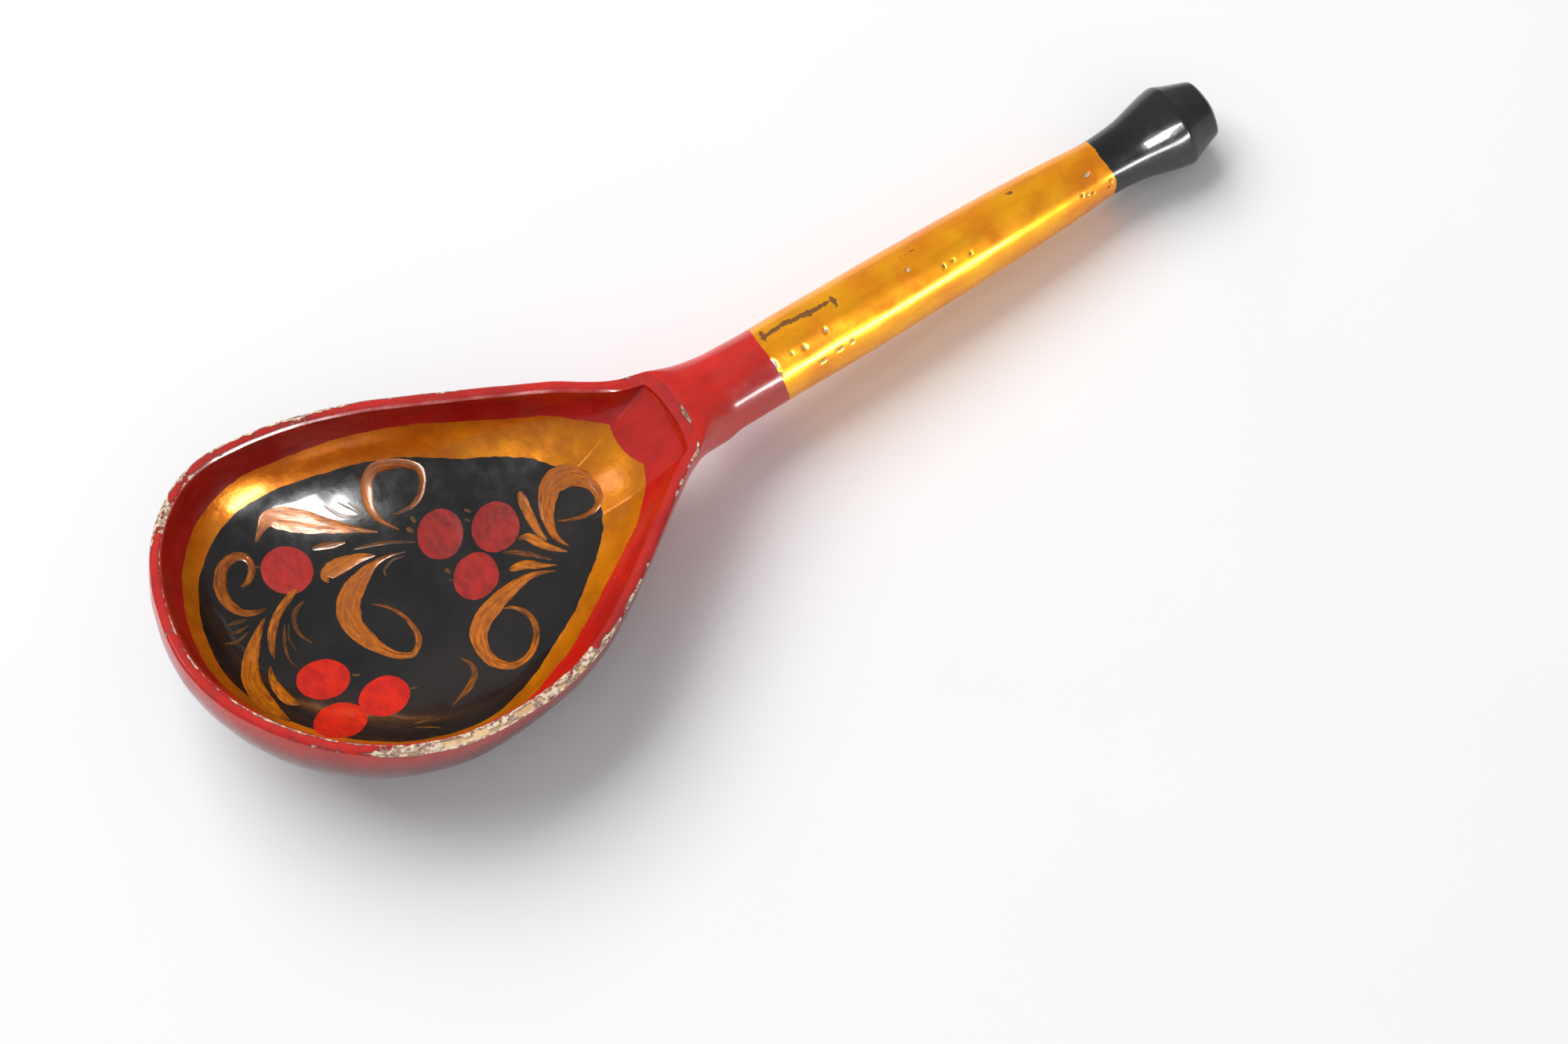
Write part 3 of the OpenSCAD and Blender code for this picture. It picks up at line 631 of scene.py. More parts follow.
# ---------------------------------------------------------------- gold border and black ground
gold_top = wall_rows(0.0, GOLD_TOP, BLACK_TOP, GOLD_ROWS)
gold_low = wall_rows(COAT, GOLD_LOW, BLACK_LOW, GOLD_ROWS)
gold_border = shell("gold_border_lacquer", [(gold_top, gold_low, no_mark(gold_top), True, None)])
black_top = wall_rows(0.0, BLACK_TOP, 0 * BLACK_TOP, BLACK_ROWS)
black_low = wall_rows(COAT, BLACK_LOW, 0 * BLACK_LOW, BLACK_ROWS)
black_ground = shell("black_ground_lacquer", [
    (black_top, black_low, no_mark(black_top), True, None)])

# ---------------------------------------------------------------- handle and finial
# Marks on the gold: distance from the tip, turn in degrees, length, width
SCRATCH = [(107.2, 74, 0.5, 1.5), (109.5, 74.5, 3.0, 0.5), (113.5, 77, 3.2, 0.55),
           (117.5, 80, 3.0, 0.5), (120.4, 83, 0.45, 1.2), (111.6, 74, 0.9, 0.8),
           (115.6, 80, 0.8, 0.8), (135.5, 75, 3.0, 0.14), (156.5, 72, 0.7, 0.5),
           (139.5, 122, 0.3, 0.4), (141.3, 121, 0.35, 0.25), (144.6, 125, 0.3, 0.3),
           (167, 142, 0.3, 0.35), (169, 150, 0.5, 0.2), (172.2, 160, 0.35, 0.3)]
CHIPS = [(106.1, 118, 0.35, 0.8), (106.1, 136, 0.4, 0.5), (112, 120, 0.4, 0.25),
         (109.5, 118, 0.3, 0.25), (116.5, 114, 0.45, 0.3), (113.5, 152, 0.8, 0.16),
         (115.4, 150.5, 0.9, 0.16), (117, 149.5, 0.8, 0.14), (119.5, 148, 0.4, 0.2),
         (134, 100, 0.4, 0.4), (169.5, 114, 0.6, 0.45), (168, 146, 0.4, 0.16),
         (172.9, 150, 0.2, 0.6)]


def handle_marks(rows, spots, seed):
    """Height above zero inside ragged spots laid along the handle."""
    turn = np.degrees(ring_turn())
    s = rows[..., 0]
    edge = 0.5 * grain(rows, 0.7, seed) + 0.35 * grain(rows, 0.3, seed + 1)
    best = np.full(s.shape, -1.0)
    for at, angle, long, wide in spots:
        around_way = np.radians(np.mod(turn - (360 - angle) + 180, 360) - 180) * HANDLE_R
        away = np.hypot((s - at) / long, around_way[None, :] / wide)
        best = np.maximum(best, 1 - away + edge)
    return best


handle_top = spread_rows(GOLD_START, GOLD_END, HANDLE_ROWS, 0.0)
handle_low = spread_rows(GOLD_START, GOLD_END, HANDLE_ROWS, COAT)
scar = handle_marks(handle_top, SCRATCH, 41)
chip = handle_marks(handle_top, CHIPS, 43)
dent = 0.16 * smooth(scar / 0.3) + 0.2 * smooth(chip / 0.25)
inwards = np.stack([0 * handle_top[..., 0], handle_top[..., 1],
                    handle_top[..., 2] - axis_z(handle_top[..., 0])], -1)
inwards /= np.linalg.norm(inwards, axis=-1)[..., None]
handle_top = handle_top - inwards * dent[..., None]
handle_coat = shell("gold_handle_lacquer", [
    (handle_top, handle_low, np.stack([scar, chip], -1), True, None)], ["scar", "chip"])


def finial_rows(deep):
    body = spread_rows(GOLD_END, FLARE_AT, 14, deep)
    flare = np.linspace(FLARE_AT, GIRDLE_AT, 44)[1:]
    chamfer = np.linspace(GIRDLE_AT, END_AT - 0.3, 26)[1:]
    blunt = np.linspace(END_AT - 0.3, LENGTH - 0.02, 14)[1:]
    steps = np.concatenate([flare, chamfer, blunt])
    tail = np.array([round_ring(s - deep * smooth((s - END_AT + 0.6) / 0.8), deep) for s in steps])
    tail[-1] = [LENGTH - deep, 0, axis_z(LENGTH)]
    return np.concatenate([body, tail])


finial_top, finial_low = finial_rows(0.0), finial_rows(COAT)
finial_s = finial_top[..., 0]
edge_wear = np.exp(-((finial_s - GIRDLE_AT) / 0.7) ** 2) + np.exp(-((finial_s - END_AT) / 0.7) ** 2)
turn_place = np.mod(ring_turn(), 2 * np.pi / FLATS) - np.pi / FLATS
corner = smooth((np.abs(turn_place) - 0.36) / 0.16)[None, :] * smooth((finial_s - 189) / 1.5)
edge_wear = np.clip(0.75 * edge_wear + 0.4 * corner, 0, 1.2) + 0.5 * grain(finial_top, 2.4, 51)
finial_coat = shell("black_finial_lacquer", [
    (finial_top, finial_low, edge_wear, True, None)], ["worn"])

# ---------------------------------------------------------------- wood under the coats
wood_under = np.concatenate([LOW_NECK[::2], handle_low[2::2], finial_low[2::2]])
wood_in = np.concatenate([RIM_LOW[::2], WALL_LOW[2::2], gold_low[2::2], black_low[2::2]])


def wood_patch(grid, closed):
    return (grid, grid, no_mark(grid), closed, None)


def wood_body():
    bowl = LOW_BOWL[::2, ::2]
    closed = wood_under[:, ::2]
    hollow = wood_in[:, ::2]
    points, _, _, quads = joined([wood_patch(bowl, False), wood_patch(closed, True),
                                  wood_patch(hollow, True)])
    return make_object("linden_wood", points, tidy_faces(quads))


wood = wood_body()


# ---------------------------------------------------------------- berries
def berry(at, seed, radius=4.1, height=0.22):
    turn = np.linspace(0, 2 * np.pi, BERRY_N, endpoint=False)
    ring = np.stack([np.cos(turn), np.sin(turn), np.zeros(BERRY_N)], 1)
    reach = radius * (1 + 0.035 * grain(ring, 0.9, seed) + 0.02 * grain(ring, 0.25, seed + 1))
    tops, lows = [], []
    for t in [1, 0.985, 0.95, 0.88, 0.78, 0.66, 0.54, 0.42, 0.3, 0.18, 0.08, 0]:
        x = at[0] + reach * t * np.cos(turn)
        y = at[1] + reach * t * np.sin(turn)
        z = inside_z(x, y)
        swell = height * (1 - t ** 4) + 0.025 * grain(np.stack([x, y * 3, z], 1), 1.3, seed + 2)
        tops.append(np.stack([x, y, z + np.maximum(0.02, swell)], 1))
        lows.append(np.stack([x, y, z - 0.05], 1))
    top, low = np.array(tops), np.array(lows)
    return (top, low, no_mark(top), True, None)


def berries(name, places, seed):
    return shell(name, [berry(at, seed + 5 * k) for k, at in enumerate(places)])


left_berry = berries("left_berry_paint", [(19.9, 17.1)], 61)
middle_berries = berries("middle_berry_paint", [(44.8, 8.7), (53.2, 4.1), (46.1, -0.8)], 71)
front_berries = berries("front_berry_paint", [(15.8, -3.3), (22.9, -11.3), (15.0, -12.8)], 91)

# ---------------------------------------------------------------- brush strokes
# Each point of a stroke: distance from the tip, distance to the left, width of the brush
LEAVES = [
    [(36.0, 15.4, 0.3), (32.9, 17.8, 1.1), (29.8, 20.2, 2.3), (26.8, 22.5, 3.6), (24.0, 24.5, 3.6),
     (21.7, 25.4, 2.4), (19.7, 24.5, 1.1), (18.1, 23.2, 0.4)],
    [(33.7, 12.4, 0.3), (31.2, 13.4, 1.6), (28.4, 13.9, 2.6), (26.3, 13.9, 2.8), (24.8, 13.5, 1.7),
     (24.7, 12.2, 0.3)],
    [(12.7, 11.2, 0.3), (11.0, 9.5, 1.0), (8.8, 6.8, 1.8), (7.0, 3.5, 2.3), (6.2, 0.3, 2.7),
     (6.3, -3.5, 2.8), (7.0, -6.9, 2.0), (8.4, -10.0, 0.4)],
    [(9.7, 2.8, 0.3), (9.0, 0.0, 1.1), (9.1, -2.9, 1.7), (9.7, -5.4, 1.6), (10.8, -6.6, 0.3)],
    [(20.5, 14.0, 0.3), (18.5, 13.3, 1.0), (15.8, 11.8, 1.2), (13.5, 9.7, 1.3), (12.0, 7.4, 1.2),
     (11.1, 5.2, 0.8), (10.9, 3.8, 0.2)],
    [(59.1, -3.3, 0.4), (58.8, -0.6, 1.2), (59.0, 2.3, 1.6), (59.3, 4.7, 1.6), (59.7, 6.4, 0.9)],
    [(60.9, -7.4, 0.3), (58.9, -4.7, 1.1), (57.6, -2.1, 1.6), (56.7, -0.4, 1.2), (55.3, 0.2, 0.4)],
    [(58.2, -8.2, 0.2), (56.0, -6.4, 1.0), (54.2, -4.6, 1.6), (52.5, -3.8, 1.4),
     (51.3, -3.6, 0.6)]]
CURLS = [
    [(39.3, 13.7, 0.3), (37.7, 16.1, 0.9), (37.0, 18.7, 1.5), (37.8, 21.0, 1.9), (39.2, 22.5, 1.8),
     (41.2, 23.0, 1.5), (43.6, 22.2, 1.4), (46.1, 20.8, 1.2), (47.6, 19.0, 1.3),
     (47.2, 17.4, 1.2), (45.5, 15.9, 1.0), (43.4, 15.4, 0.8), (41.1, 15.8, 0.5),
     (39.5, 16.4, 0.2)],
    [(38.2, 10.1, 0.2), (35.6, 11.0, 0.5), (32.9, 11.2, 1.2), (30.2, 10.4, 2.6), (27.3, 9.0, 3.7),
     (25.1, 6.7, 4.0), (24.4, 3.8, 3.5), (24.9, 0.8, 2.9), (26.2, -2.5, 1.9), (28.0, -5.2, 1.3),
     (30.2, -6.6, 1.1), (32.1, -5.3, 1.1), (32.7, -3.0, 1.0), (32.2, 0.4, 0.7),
     (30.8, 3.4, 0.6), (28.9, 5.3, 0.2)],
    [(12.3, 17.6, 0.4), (13.6, 18.0, 0.8), (14.9, 19.3, 1.0), (15.5, 20.7, 1.1), (15.0, 22.0, 1.4),
     (13.5, 22.3, 1.4), (11.5, 21.4, 1.5), (10.0, 19.5, 1.7), (9.1, 17.2, 1.8), (9.2, 15.1, 1.7),
     (10.2, 13.4, 1.3), (11.8, 12.7, 1.0), (13.8, 12.7, 0.3)],
    [(61.6, -6.8, 0.2), (60.7, -3.8, 1.0), (61.1, -0.7, 2.0), (62.5, 2.1, 3.1), (64.9, 3.9, 3.8),
     (67.7, 3.5, 3.7), (69.6, 1.4, 2.6), (70.4, -1.0, 1.8), (70.0, -3.2, 1.4),
     (68.4, -4.2, 1.1), (66.0, -3.8, 0.8), (63.7, -2.7, 0.5), (62.4, -1.6, 0.2)],
    [(57.5, -9.0, 0.2), (55.4, -7.6, 0.7), (53.0, -6.7, 1.5), (49.8, -6.8, 2.6), (46.7, -7.2, 3.3),
     (43.7, -8.1, 3.5), (41.4, -10.0, 3.2), (40.5, -12.9, 2.3), (40.8, -15.8, 1.9),
     (42.2, -18.0, 1.5), (44.2, -19.4, 1.4), (46.8, -19.2, 1.4), (48.9, -17.5, 1.2),
     (50.0, -15.0, 1.0), (49.7, -12.0, 0.9), (48.4, -9.8, 0.6), (47.0, -8.9, 0.2)]]
STEMS = [
    [(40.6, 10.4, 0.3), (37.3, 12.6, 0.5), (34.2, 14.1, 0.6), (31.1, 15.2, 0.3)],
    [(30.6, 16.8, 0.3), (28.5, 17.5, 1.0), (26.6, 18.2, 1.1), (25.2, 18.5, 0.4)],
    [(58.1, -6.8, 0.3), (55.7, -3.6, 0.8), (53.8, -1.5, 0.8), (52.1, -0.2, 0.4)],
    [(19.6, 11.3, 0.3), (17.4, 10.3, 0.9), (16.3, 8.3, 0.7), (16.3, 6.0, 0.5), (17.2, 4.0, 0.2)],
    [(14.9, 9.0, 0.2), (13.6, 6.4, 0.5), (12.8, 3.1, 0.4), (13.3, 0.2, 0.2)],
    [(36.5, -11.9, 0.2), (37.6, -14.4, 0.8), (37.1, -16.3, 1.1), (35.3, -17.9, 1.3),
     (33.0, -18.9, 0.8), (31.3, -19.6, 0.3)]]
TENDRILS = [
    [(35.1, 18.8, 0.3), (32.5, 20.4, 0.5), (31.3, 22.2, 0.5), (30.8, 23.2, 0.2)],
    [(35.3, 19.0, 0.2), (33.8, 21.3, 0.3), (32.9, 22.6, 0.1)],
    [(35.7, 19.0, 0.2), (34.8, 20.9, 0.4), (34.4, 21.7, 0.2)],
    [(37.5, 9.6, 0.2), (35.6, 10.1, 0.4), (33.8, 9.4, 0.5), (33.3, 8.1, 0.2)],
    [(10.2, 12.0, 0.2), (8.8, 12.0, 0.7), (7.2, 11.7, 0.3)],
    [(9.9, 10.9, 0.2), (8.0, 10.3, 0.6), (6.6, 10.6, 0.3)],
    [(9.4, 9.8, 0.3), (7.2, 8.6, 0.6), (5.5, 8.7, 0.2)],
    [(15.5, 8.7, 0.2), (14.4, 6.4, 0.4), (14.4, 3.7, 0.2)],
    [(24.7, -19.3, 0.3), (26.7, -19.9, 0.5), (28.5, -20.9, 0.4)],
    [(24.4, -20.3, 0.3), (26.4, -21.5, 0.4), (28.0, -23.0, 0.3)],
    [(42.2, 14.2, 0.7), (42.3, 13.0, 0.7)],
    [(40.5, 13.2, 0.8), (41.2, 12.0, 0.6)],
    [(50.4, 9.6, 0.6), (51.1, 8.6, 0.5)],
    [(49.6, 8.2, 0.5), (50.3, 7.5, 0.4)],
    [(42.3, 3.5, 0.7), (42.8, 2.5, 0.6)],
    [(41.7, 1.7, 0.4), (42.4, 1.2, 0.4)],
    [(15.5, 20.0, 0.3), (16.6, 19.4, 0.3)],
    [(20.2, -4.7, 0.4), (21.2, -5.2, 0.5)],
    [(27.1, -12.2, 0.5), (28.2, -12.8, 0.4)]]


def bent(path, steps):
    """Smooth curve through the path's points."""
    p = np.array(path, float)
    n = len(p)
    f = np.linspace(0, n - 1, steps * (n - 1) + 1)
    i = np.minimum(n - 2, f.astype(int))
    t = (f - i)[:, None]
    p0, p1 = p[np.maximum(0, i - 1)], p[i]
    p2, p3 = p[i + 1], p[np.minimum(n - 1, i + 2)]
    return 0.5 * (2 * p1 + (p2 - p0) * t + (2 * p0 - 5 * p1 + 4 * p2 - p3) * t ** 2
                  + (3 * p1 - p0 - 3 * p2 + p3) * t ** 3)


def stroke(path, seed, height):
    """A ribbon of paint with brush ridges. Marks: way along, way across, seed, paint load."""
    line = bent(path, STROKE_STEPS)
    step = np.gradient(line[:, :2], axis=0)
    step /= np.linalg.norm(step, axis=1)[:, None]
    side = np.stack([-step[:, 1], step[:, 0]], 1)
    along = np.concatenate([[0], np.cumsum(np.linalg.norm(np.diff(line[:, :2], axis=0), axis=1))])
    f = along / along[-1]
    width = np.maximum(0.08, line[:, 2])
    caps = np.sqrt(np.clip(1 - (1 - np.minimum(1, along / (0.4 * width))) ** 2, 0.02, 1))
    back = along[-1] - along
    caps *= np.sqrt(np.clip(1 - (1 - np.minimum(1, back / (0.4 * width))) ** 2, 0.02, 1))
    tops, lows, marks = [], [], []
    for c in np.linspace(-1, 1, 11):
        spot = np.stack([line[:, 0], line[:, 1], np.full(len(line), 4.0 * np.sign(c))], 1)
        edge = 1 + 0.1 * grain(spot, 1.7, seed) + 0.05 * grain(spot, 0.6, seed + 1)
        reach = (width / 2 * caps * edge * c)[:, None]
        plan = line[:, :2] + side * reach
        z = inside_z(plan[:, 0], plan[:, 1])
        ridge = np.stack([along * 0.25, reach[:, 0] * 5, np.full(len(line), seed)], 1)
        lift = height * (1 - np.abs(c) ** 3) * (0.8 + 0.5 * grain(ridge, 1.0, 3))
        tops.append(np.concatenate([plan, (z + 0.03 + lift * np.minimum(1, width))[:, None]], 1))
        lows.append(np.concatenate([plan, (z - 0.06)[:, None]], 1))
        load = np.minimum(1, width / 2.2) * (1 - 0.35 * f)
        marks.append(np.stack([along, reach[:, 0], np.full(len(line), seed), load], 1))
    return (np.array(tops), np.array(lows), np.array(marks), False, None)


def strokes(name, paths, seed, height):
    patches = []
    for k, path in enumerate(paths):
        patches.append(stroke(path, seed + 3 * k, height + 0.012 * (k % 4)))
    return shell(name, patches, ["along", "across", "seed", "load"])


leaf_strokes = strokes("leaf_stroke_paint", LEAVES, 110, 0.14)
curl_strokes = strokes("curl_stroke_paint", CURLS, 150, 0.16)
stem_strokes = strokes("stem_stroke_paint", STEMS, 180, 0.1)
fine_tendrils = strokes("tendril_paint", TENDRILS, 210, 0.08)


# ---------------------------------------------------------------- materials
def srgb(r, g, b):
    def line(v):
        v /= 255
        return v / 12.92 if v <= 0.04045 else ((v + 0.055) / 1.055) ** 2.4
    return (line(r), line(g), line(b), 1)


class Paint:
    """A material whose nodes are added in one line each."""

    def __init__(self, name):
        self.mat = bpy.data.materials.new(name)
        self.mat.use_nodes = True
        self.tree = self.mat.node_tree
        self.shader = self.tree.nodes["Principled BSDF"]
        self.where = self.add("ShaderNodeTexCoord").outputs["Object"]

    def add(self, kind, settings=(), **inputs):
        node = self.tree.nodes.new(kind)
        for key, value in dict(settings).items():
            setattr(node, key, value)
        for key, value in inputs.items():
            self.put(node.inputs[int(key[1:]) if key[1:].isdigit() else key.replace("_", " ")],
                     value)
        return node

    def put(self, socket, value):
        if isinstance(value, bpy.types.NodeSocket):
            self.tree.links.new(value, socket)
        else:
            socket.default_value = value

    def set(self, **inputs):
        for key, value in inputs.items():
            self.put(self.shader.inputs[key.replace("_", " ")], value)

    def noise(self, size, detail=4.0, rough=0.55, where=None, stretch=None):
        """Noise with blobs of that size in millimetres."""
        place = where or self.where
        if stretch:
            place = self.add("ShaderNodeMapping", Vector=place, Scale=stretch).outputs[0]
        return self.add("ShaderNodeTexNoise", Vector=place, Scale=1 / (size * MM), Detail=detail,
                        Roughness=rough).outputs["Fac"]

    def ramp(self, value, low, high, to_low=0.0, to_high=1.0):
        return self.add("ShaderNodeMapRange", {"interpolation_type": "SMOOTHSTEP"}, Value=value,
                        From_Min=low, From_Max=high, To_Min=to_low, To_Max=to_high).outputs[0]

    def mix(self, fac, a, b):
        return self.add("ShaderNodeMix", {"data_type": "RGBA"}, i0=fac, i6=a, i7=b).outputs[2]

    def math(self, kind, a, b):
        return self.add("ShaderNodeMath", {"operation": kind}, i0=a, i1=b).outputs[0]

    def mark(self, name):
        return self.add("ShaderNodeAttribute", {"attribute_name": name}).outputs["Fac"]

    def bump(self, layers):
        """Bump from (height, strength, depth in millimetres) layers."""
        last = None
        for height, strength, depth in layers:
            node = self.add("ShaderNodeBump", Height=height, Strength=strength,
                            Distance=depth * MM)
            if last:
                self.tree.links.new(last, node.inputs["Normal"])
            last = node.outputs[0]
        self.put(self.shader.inputs["Normal"], last)


def worn_red(name, fresh, dull, deep, painted_shade_strength):
    """Its last argument is how strongly painted shade darkens the lacquer to deep maroon low on the
    bowl's outside.
    """
    m = Paint(name)
    patch = m.ramp(m.noise(22, 3), 0.35, 0.65)
    streak = m.ramp(m.noise(2.4, 5, stretch=(0.25, 1, 1)), 0.3, 0.75)
    colour = m.mix(patch, fresh, dull)
    colour = m.mix(m.math("MULTIPLY", streak, 0.35), colour, deep)
    # Painted shade: towards the bottom of the bowl's outside the red turns deep maroon, standing in
    # for the shadow under the bowl.
    place = m.add("ShaderNodeSeparateXYZ", Vector=m.where)
    low = m.math("MULTIPLY", m.ramp(place.outputs["Z"], 0.0268, 0.019, 0, painted_shade_strength),
                 m.ramp(place.outputs["X"], -0.01, -0.04))
    colour = m.mix(low, colour, srgb(84, 10, 14))
    dirt = m.ramp(m.noise(0.7, 6, 0.7), 0.66, 0.74, 0, 0.5)
    colour = m.mix(dirt, colour, srgb(70, 14, 10))
    fine = m.math("MULTIPLY", m.math("SUBTRACT", m.noise(0.45, 5, 0.7), 0.5), 0.55)
    worn = m.math("ADD", m.mark("worn"), fine)
    rub = m.ramp(worn, 0.45, 0.6)
    colour = m.mix(m.math("MULTIPLY", rub, 0.6), colour, srgb(118, 30, 30))
    primer = m.ramp(worn, 0.66, 0.72)
    stain = m.mix(m.ramp(m.noise(0.8, 4), 0.4, 0.6), srgb(226, 205, 178), srgb(146, 112, 98))
    colour = m.mix(primer, colour, stain)
    m.set(Base_Color=colour, Roughness=m.math("ADD", m.ramp(m.noise(5, 4), 0.3, 0.7, 0.2, 0.34),
                                              m.math("MULTIPLY", primer, 0.35)),
          Specular_IOR_Level=0.35, Coat_Weight=m.ramp(primer, 0, 1, 0.4, 0.0),
          Coat_Roughness=0.1)
    m.bump([(m.noise(3.2, 3), 0.25, 0.3), (m.noise(0.5, 4), 0.18, 0.05),
            (primer, 0.8, -0.15)])
    return m.mat


def gold_paint(name, bright, deep, marks):
    m = Paint(name)
    cloud = m.ramp(m.noise(9, 4), 0.3, 0.7)
    brush = m.ramp(m.noise(1.6, 5, stretch=(0.12, 1, 1)), 0.3, 0.75)
    colour = m.mix(cloud, bright, deep)
    colour = m.mix(m.math("MULTIPLY", brush, 0.3), colour, srgb(196, 110, 8))
    speck = m.ramp(m.noise(0.5, 3, 0.6), 0.64, 0.8, 0, 0.12)
    colour = m.mix(speck, colour, srgb(150, 84, 10))
    pits = m.ramp(m.noise(2.4, 3, 0.6), 0.7, 0.78, 0, 0.4)
    colour = m.mix(pits, colour, srgb(118, 66, 14))
    metal, roughness = 0.5, m.ramp(m.noise(4, 3), 0.3, 0.75, 0.25, 0.33)
    crinkle = 0.06 if marks else 0.28
    height = [(m.noise(2.2, 3), crinkle, 0.25), (m.noise(0.5, 2), 0.25 * crinkle, 0.05)]
    if marks:
        jag = m.math("MULTIPLY", m.math("SUBTRACT", m.noise(0.4, 4), 0.5), 0.5)
        scar = m.ramp(m.math("ADD", m.mark("scar"), jag), 0.0, 0.14)
        colour = m.mix(m.math("MULTIPLY", scar, 0.9), colour, srgb(88, 52, 24))
        chip = m.math("ADD", m.mark("chip"), jag)
        colour = m.mix(m.ramp(chip, -0.22, 0.0, 0, 0.7), colour, srgb(132, 78, 20))
        chip = m.ramp(chip, 0.0, 0.12)
        colour = m.mix(chip, colour, srgb(196, 182, 164))
        both = m.math("MAXIMUM", scar, chip)
        roughness = m.math("ADD", roughness, m.math("MULTIPLY", both, 0.35))
        metal = m.ramp(both, 0, 1, metal, 0.0)
    m.set(Base_Color=colour, Metallic=metal, Roughness=roughness, Specular_IOR_Level=0.3,
          Coat_Weight=0.3, Coat_Roughness=0.12)
    m.bump(height)
    return m.mat


def black_paint(name, worn):
    m = Paint(name)
    tone = m.ramp(m.noise(14, 4), 0.3, 0.7)
    colour = m.mix(tone, srgb(14, 16, 17), srgb(34, 31, 29))
    dust = m.ramp(m.noise(0.5, 5, 0.75), 0.7, 0.76, 0, 0.35)
    colour = m.mix(dust, colour, srgb(92, 84, 74))
    if worn:
        fine = m.math("MULTIPLY", m.math("SUBTRACT", m.noise(0.6, 5, 0.7), 0.5), 0.9)
        rub = m.ramp(m.math("ADD", m.mark("worn"), fine), 0.85, 1.3, 0, 0.6)
        colour = m.mix(rub, colour, srgb(112, 62, 30))
        plum = m.ramp(m.noise(4.5, 4), 0.64, 0.7, 0, 0.6)
        colour = m.mix(plum, colour, srgb(74, 42, 48))
    m.set(Base_Color=colour, Roughness=m.ramp(m.noise(3, 5), 0.3, 0.75, 0.2, 0.34),
          Specular_IOR_Level=0.3, Coat_Weight=0.35, Coat_Roughness=0.06)
    m.bump([(m.noise(2.6, 3), 0.22, 0.2), (m.noise(0.7, 3), 0.14, 0.05)])
    return m.mat


def berry_paint(name, fresh, dull):
    m = Paint(name)
    mottle = m.ramp(m.noise(1.7, 5, 0.6, stretch=(1, 0.5, 1)), 0.3, 0.72)
    colour = m.mix(mottle, fresh, dull)
    dirt = m.ramp(m.noise(0.4, 4, 0.7), 0.64, 0.74, 0, 0.45)
    colour = m.mix(dirt, colour, srgb(110, 22, 18))
    m.set(Base_Color=colour, Roughness=m.ramp(m.noise(0.8, 4), 0.3, 0.7, 0.3, 0.45),
          Specular_IOR_Level=0.3, Coat_Weight=0.2, Coat_Roughness=0.15)
    m.bump([(m.noise(0.9, 4, stretch=(1, 0.4, 1)), 0.3, 0.08), (m.noise(0.3, 3), 0.15, 0.03)])
    return m.mat


def brush_paint(name, bright, body, thin):
    """Paint that a loaded brush leaves: streaks along the stroke, thin where it ran dry."""
    m = Paint(name)
    place = m.add("ShaderNodeCombineXYZ", X=m.math("MULTIPLY", m.mark("along"), 0.00016),
                  Y=m.math("MULTIPLY", m.mark("across"), 0.001), Z=m.mark("seed")).outputs[0]
    streak = m.ramp(m.noise(0.34, 5, 0.6, where=place), 0.3, 0.72)
    blot = m.ramp(m.noise(1.4, 3), 0.3, 0.7)
    colour = m.mix(streak, bright, body)
    colour = m.mix(m.math("MULTIPLY", blot, 0.3), colour, body)
    dry = m.math("SUBTRACT", 1.0, m.mark("load"))
    dry = m.ramp(m.math("ADD", dry, m.math("MULTIPLY", m.math("SUBTRACT", streak, 0.5), 0.5)),
                 0.3, 1.05, 0, 0.85)
    colour = m.mix(dry, colour, thin)
    m.set(Base_Color=colour, Metallic=0.1, Roughness=m.ramp(streak, 0, 1, 0.3, 0.45),
          Specular_IOR_Level=0.3, Coat_Weight=0.25, Coat_Roughness=0.12)
    m.bump([(m.noise(0.34, 4, where=place), 0.4, 0.06), (m.noise(0.5, 3), 0.15, 0.03)])
    return m.mat


def bare_wood(name):
    m = Paint(name)
    ring = m.noise(1.2, 5, 0.6, stretch=(0.08, 1, 1))
    colour = m.mix(m.ramp(ring, 0.35, 0.7), srgb(228, 192, 142), srgb(190, 142, 92))
    stain = m.ramp(m.noise(2.6, 5, 0.7), 0.5, 0.72, 0, 0.7)
    colour = m.mix(stain, colour, srgb(150, 92, 58))
    pore = m.ramp(m.noise(0.3, 4, 0.7, stretch=(0.2, 1, 1)), 0.62, 0.72, 0, 0.6)
    colour = m.mix(pore, colour, srgb(92, 54, 34))
    m.set(Base_Color=colour, Roughness=m.ramp(ring, 0.3, 0.7, 0.5, 0.7))
    m.bump([(m.noise(0.5, 5, 0.7, stretch=(0.15, 1, 1)), 0.5, 0.1)])
    return m.mat


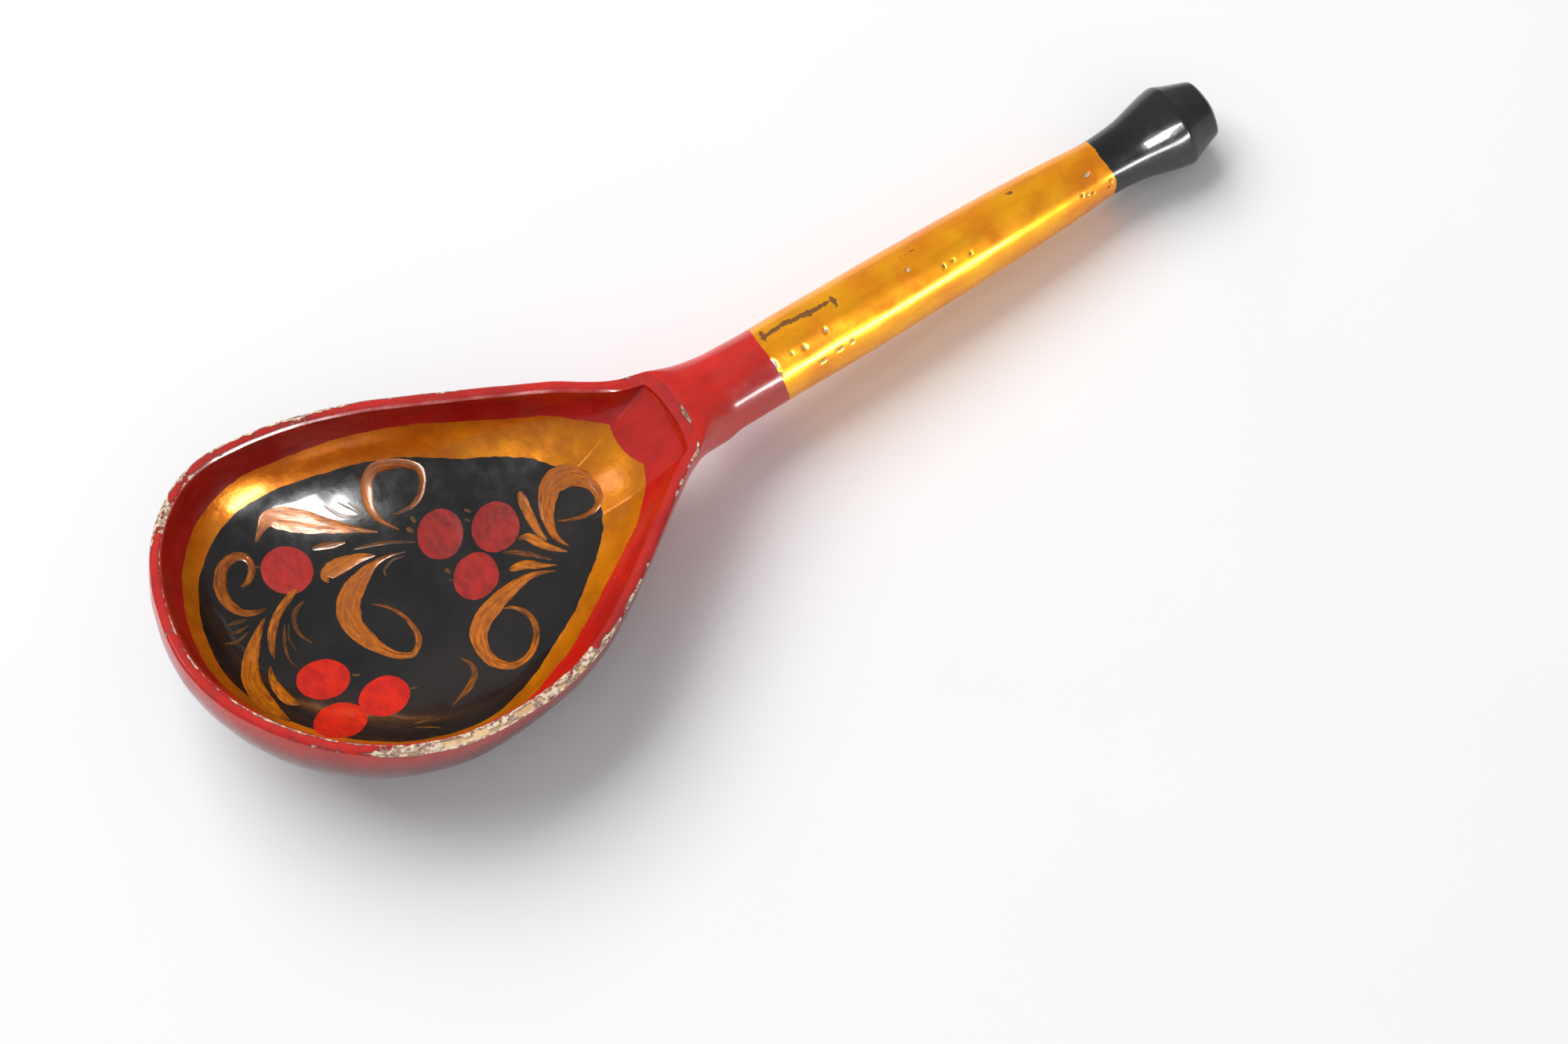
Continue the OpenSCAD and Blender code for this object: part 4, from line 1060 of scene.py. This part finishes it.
RED = (srgb(212, 30, 10), srgb(190, 22, 10), srgb(136, 12, 8))
BAND = (srgb(198, 24, 10), srgb(168, 18, 10), srgb(124, 12, 8))
FINISHES = [
    (wood, "wood_body", "linden_wood", bare_wood("bare_linden")),
    # The outer coat gets painted shade low on the bowl's outside; the inner band gets none.
    (outer_coat, "red_outer_coat", "red_lacquer", worn_red("red_lacquer_paint", *RED, 0.95)),
    (inner_band, "red_inner_band", "red_band", worn_red("red_band_paint", *BAND, 0)),
    (gold_border, "gold_border", "gold_border",
     gold_paint("gold_border_paint", srgb(236, 146, 2), srgb(190, 106, 2), False)),
    (black_ground, "black_ground", "black_lacquer", black_paint("black_ground_paint", False)),
    (handle_coat, "gold_handle_coat", "gold_lacquer",
     gold_paint("gold_handle_paint", srgb(255, 178, 0), srgb(238, 138, 0), True)),
    (finial_coat, "black_finial_coat", "finial_lacquer", black_paint("finial_paint", True)),
    (left_berry, "left_berry", "berry_paint",
     berry_paint("left_berry_red", srgb(206, 44, 34), srgb(170, 32, 26))),
    (middle_berries, "middle_berries", "berry_paint",
     berry_paint("middle_berry_red", srgb(172, 34, 24), srgb(128, 24, 22))),
    (front_berries, "front_berries", "berry_paint",
     berry_paint("front_berry_red", srgb(214, 36, 16), srgb(176, 26, 16))),
    (leaf_strokes, "leaf_strokes", "ochre_paint",
     brush_paint("leaf_ochre", srgb(214, 128, 12), srgb(150, 76, 8), srgb(70, 40, 12))),
    (curl_strokes, "curl_strokes", "ochre_paint",
     brush_paint("curl_ochre", srgb(206, 116, 10), srgb(132, 66, 8), srgb(64, 38, 14))),
    (stem_strokes, "stem_strokes", "stem_paint",
     brush_paint("stem_ochre", srgb(160, 92, 20), srgb(98, 58, 18), srgb(46, 32, 18))),
    (fine_tendrils, "fine_tendrils", "olive_paint",
     brush_paint("tendril_olive", srgb(150, 96, 32), srgb(88, 60, 26), srgb(48, 36, 20))),
]
for piece, node, slot, finish in FINISHES:
    piece.data.materials.append(finish)
    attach(piece, "root")
    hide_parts(node)


# ---------------------------------------------------------------- studio
FLOOR_HALF = 1500
FLOOR_N = 7


def floor_material():
    m = Paint("pale_card")
    tone = m.mix(m.noise(60, 3), (0.86, 0.86, 0.87, 1), (0.83, 0.83, 0.84, 1))
    m.set(Base_Color=tone, Roughness=0.75)
    m.bump([(m.noise(0.8, 3), 0.05, 0.05)])
    return m.mat


def floor():
    side = np.linspace(-FLOOR_HALF, FLOOR_HALF, FLOOR_N)
    grid = np.array([[(x, y, 0) for x in side] for y in side]) * MM
    mesh = bpy.data.meshes.new("floor")
    faces = quads_of(FLOOR_N, FLOOR_N, False).reshape(-1, 4).tolist()
    mesh.from_pydata(grid.reshape(-1, 3).tolist(), [], faces)
    obj = bpy.data.objects.new("floor", mesh)
    bpy.context.scene.collection.objects.link(obj)
    mesh.materials.append(floor_material())


def area_light(name, azimuth, elevation, distance, width, height, watts, colour):
    """A soft box that faces the bowl from that side."""
    data = bpy.data.lights.new(name, "AREA")
    data.shape = "RECTANGLE"
    data.size = width
    data.size_y = height
    data.energy = watts
    data.color = colour
    obj = bpy.data.objects.new(name, data)
    a, e = math.radians(azimuth), math.radians(elevation)
    towards = Vector((math.cos(a) * math.cos(e), math.sin(a) * math.cos(e), math.sin(e)))
    obj.location = towards * distance
    obj.rotation_euler = towards.to_track_quat("Z", "Y").to_euler()
    bpy.context.scene.collection.objects.link(obj)
    return obj


floor()
# Both windows and the side light make only highlights; the fill lights only the diffuse surfaces
area_light("window", -101, 50, 1.0, 0.32, 0.42, 20, (1, 1, 1)).visible_diffuse = False
area_light("low_window", -80, 14, 1.0, 0.5, 0.16, 9, (1, 1, 1)).visible_diffuse = False
area_light("fill", 100, 55, 1.6, 1.5, 1.2, 27, (1, 0.99, 0.98)).visible_glossy = False
area_light("side", 150, 40, 1.3, 0.22, 0.22, 0.9, (1, 0.97, 0.92)).visible_diffuse = False
world = bpy.data.worlds.new("studio")
world.use_nodes = True
world.node_tree.nodes["Background"].inputs["Color"].default_value = (0.97, 0.98, 1.0, 1)
world.node_tree.nodes["Background"].inputs["Strength"].default_value = 0.46
bpy.context.scene.world = world
bpy.context.scene.view_settings.view_transform = "Standard"

# The camera stands above the spoon's right side
CAMERA_AT = Vector(((41.96 + SHIFT) * MM, -185.1 * MM, 416.1 * MM))
RIGHT = Vector((0.8379, -0.5355, -0.1059)).normalized()
BACK = Vector((-0.1168, -0.3654, 0.9235)).normalized()
UP = BACK.cross(RIGHT).normalized()
turn = Matrix((RIGHT, UP, BACK)).transposed().to_4x4()
lens = bpy.data.cameras.new("camera")
lens.lens = 61.2
lens.sensor_width = 36
lens.sensor_fit = "HORIZONTAL"
lens.clip_start = 0.01
camera = bpy.data.objects.new("camera", lens)
camera.matrix_world = Matrix.Translation(CAMERA_AT) @ turn
bpy.context.scene.collection.objects.link(camera)
bpy.context.scene.camera = camera
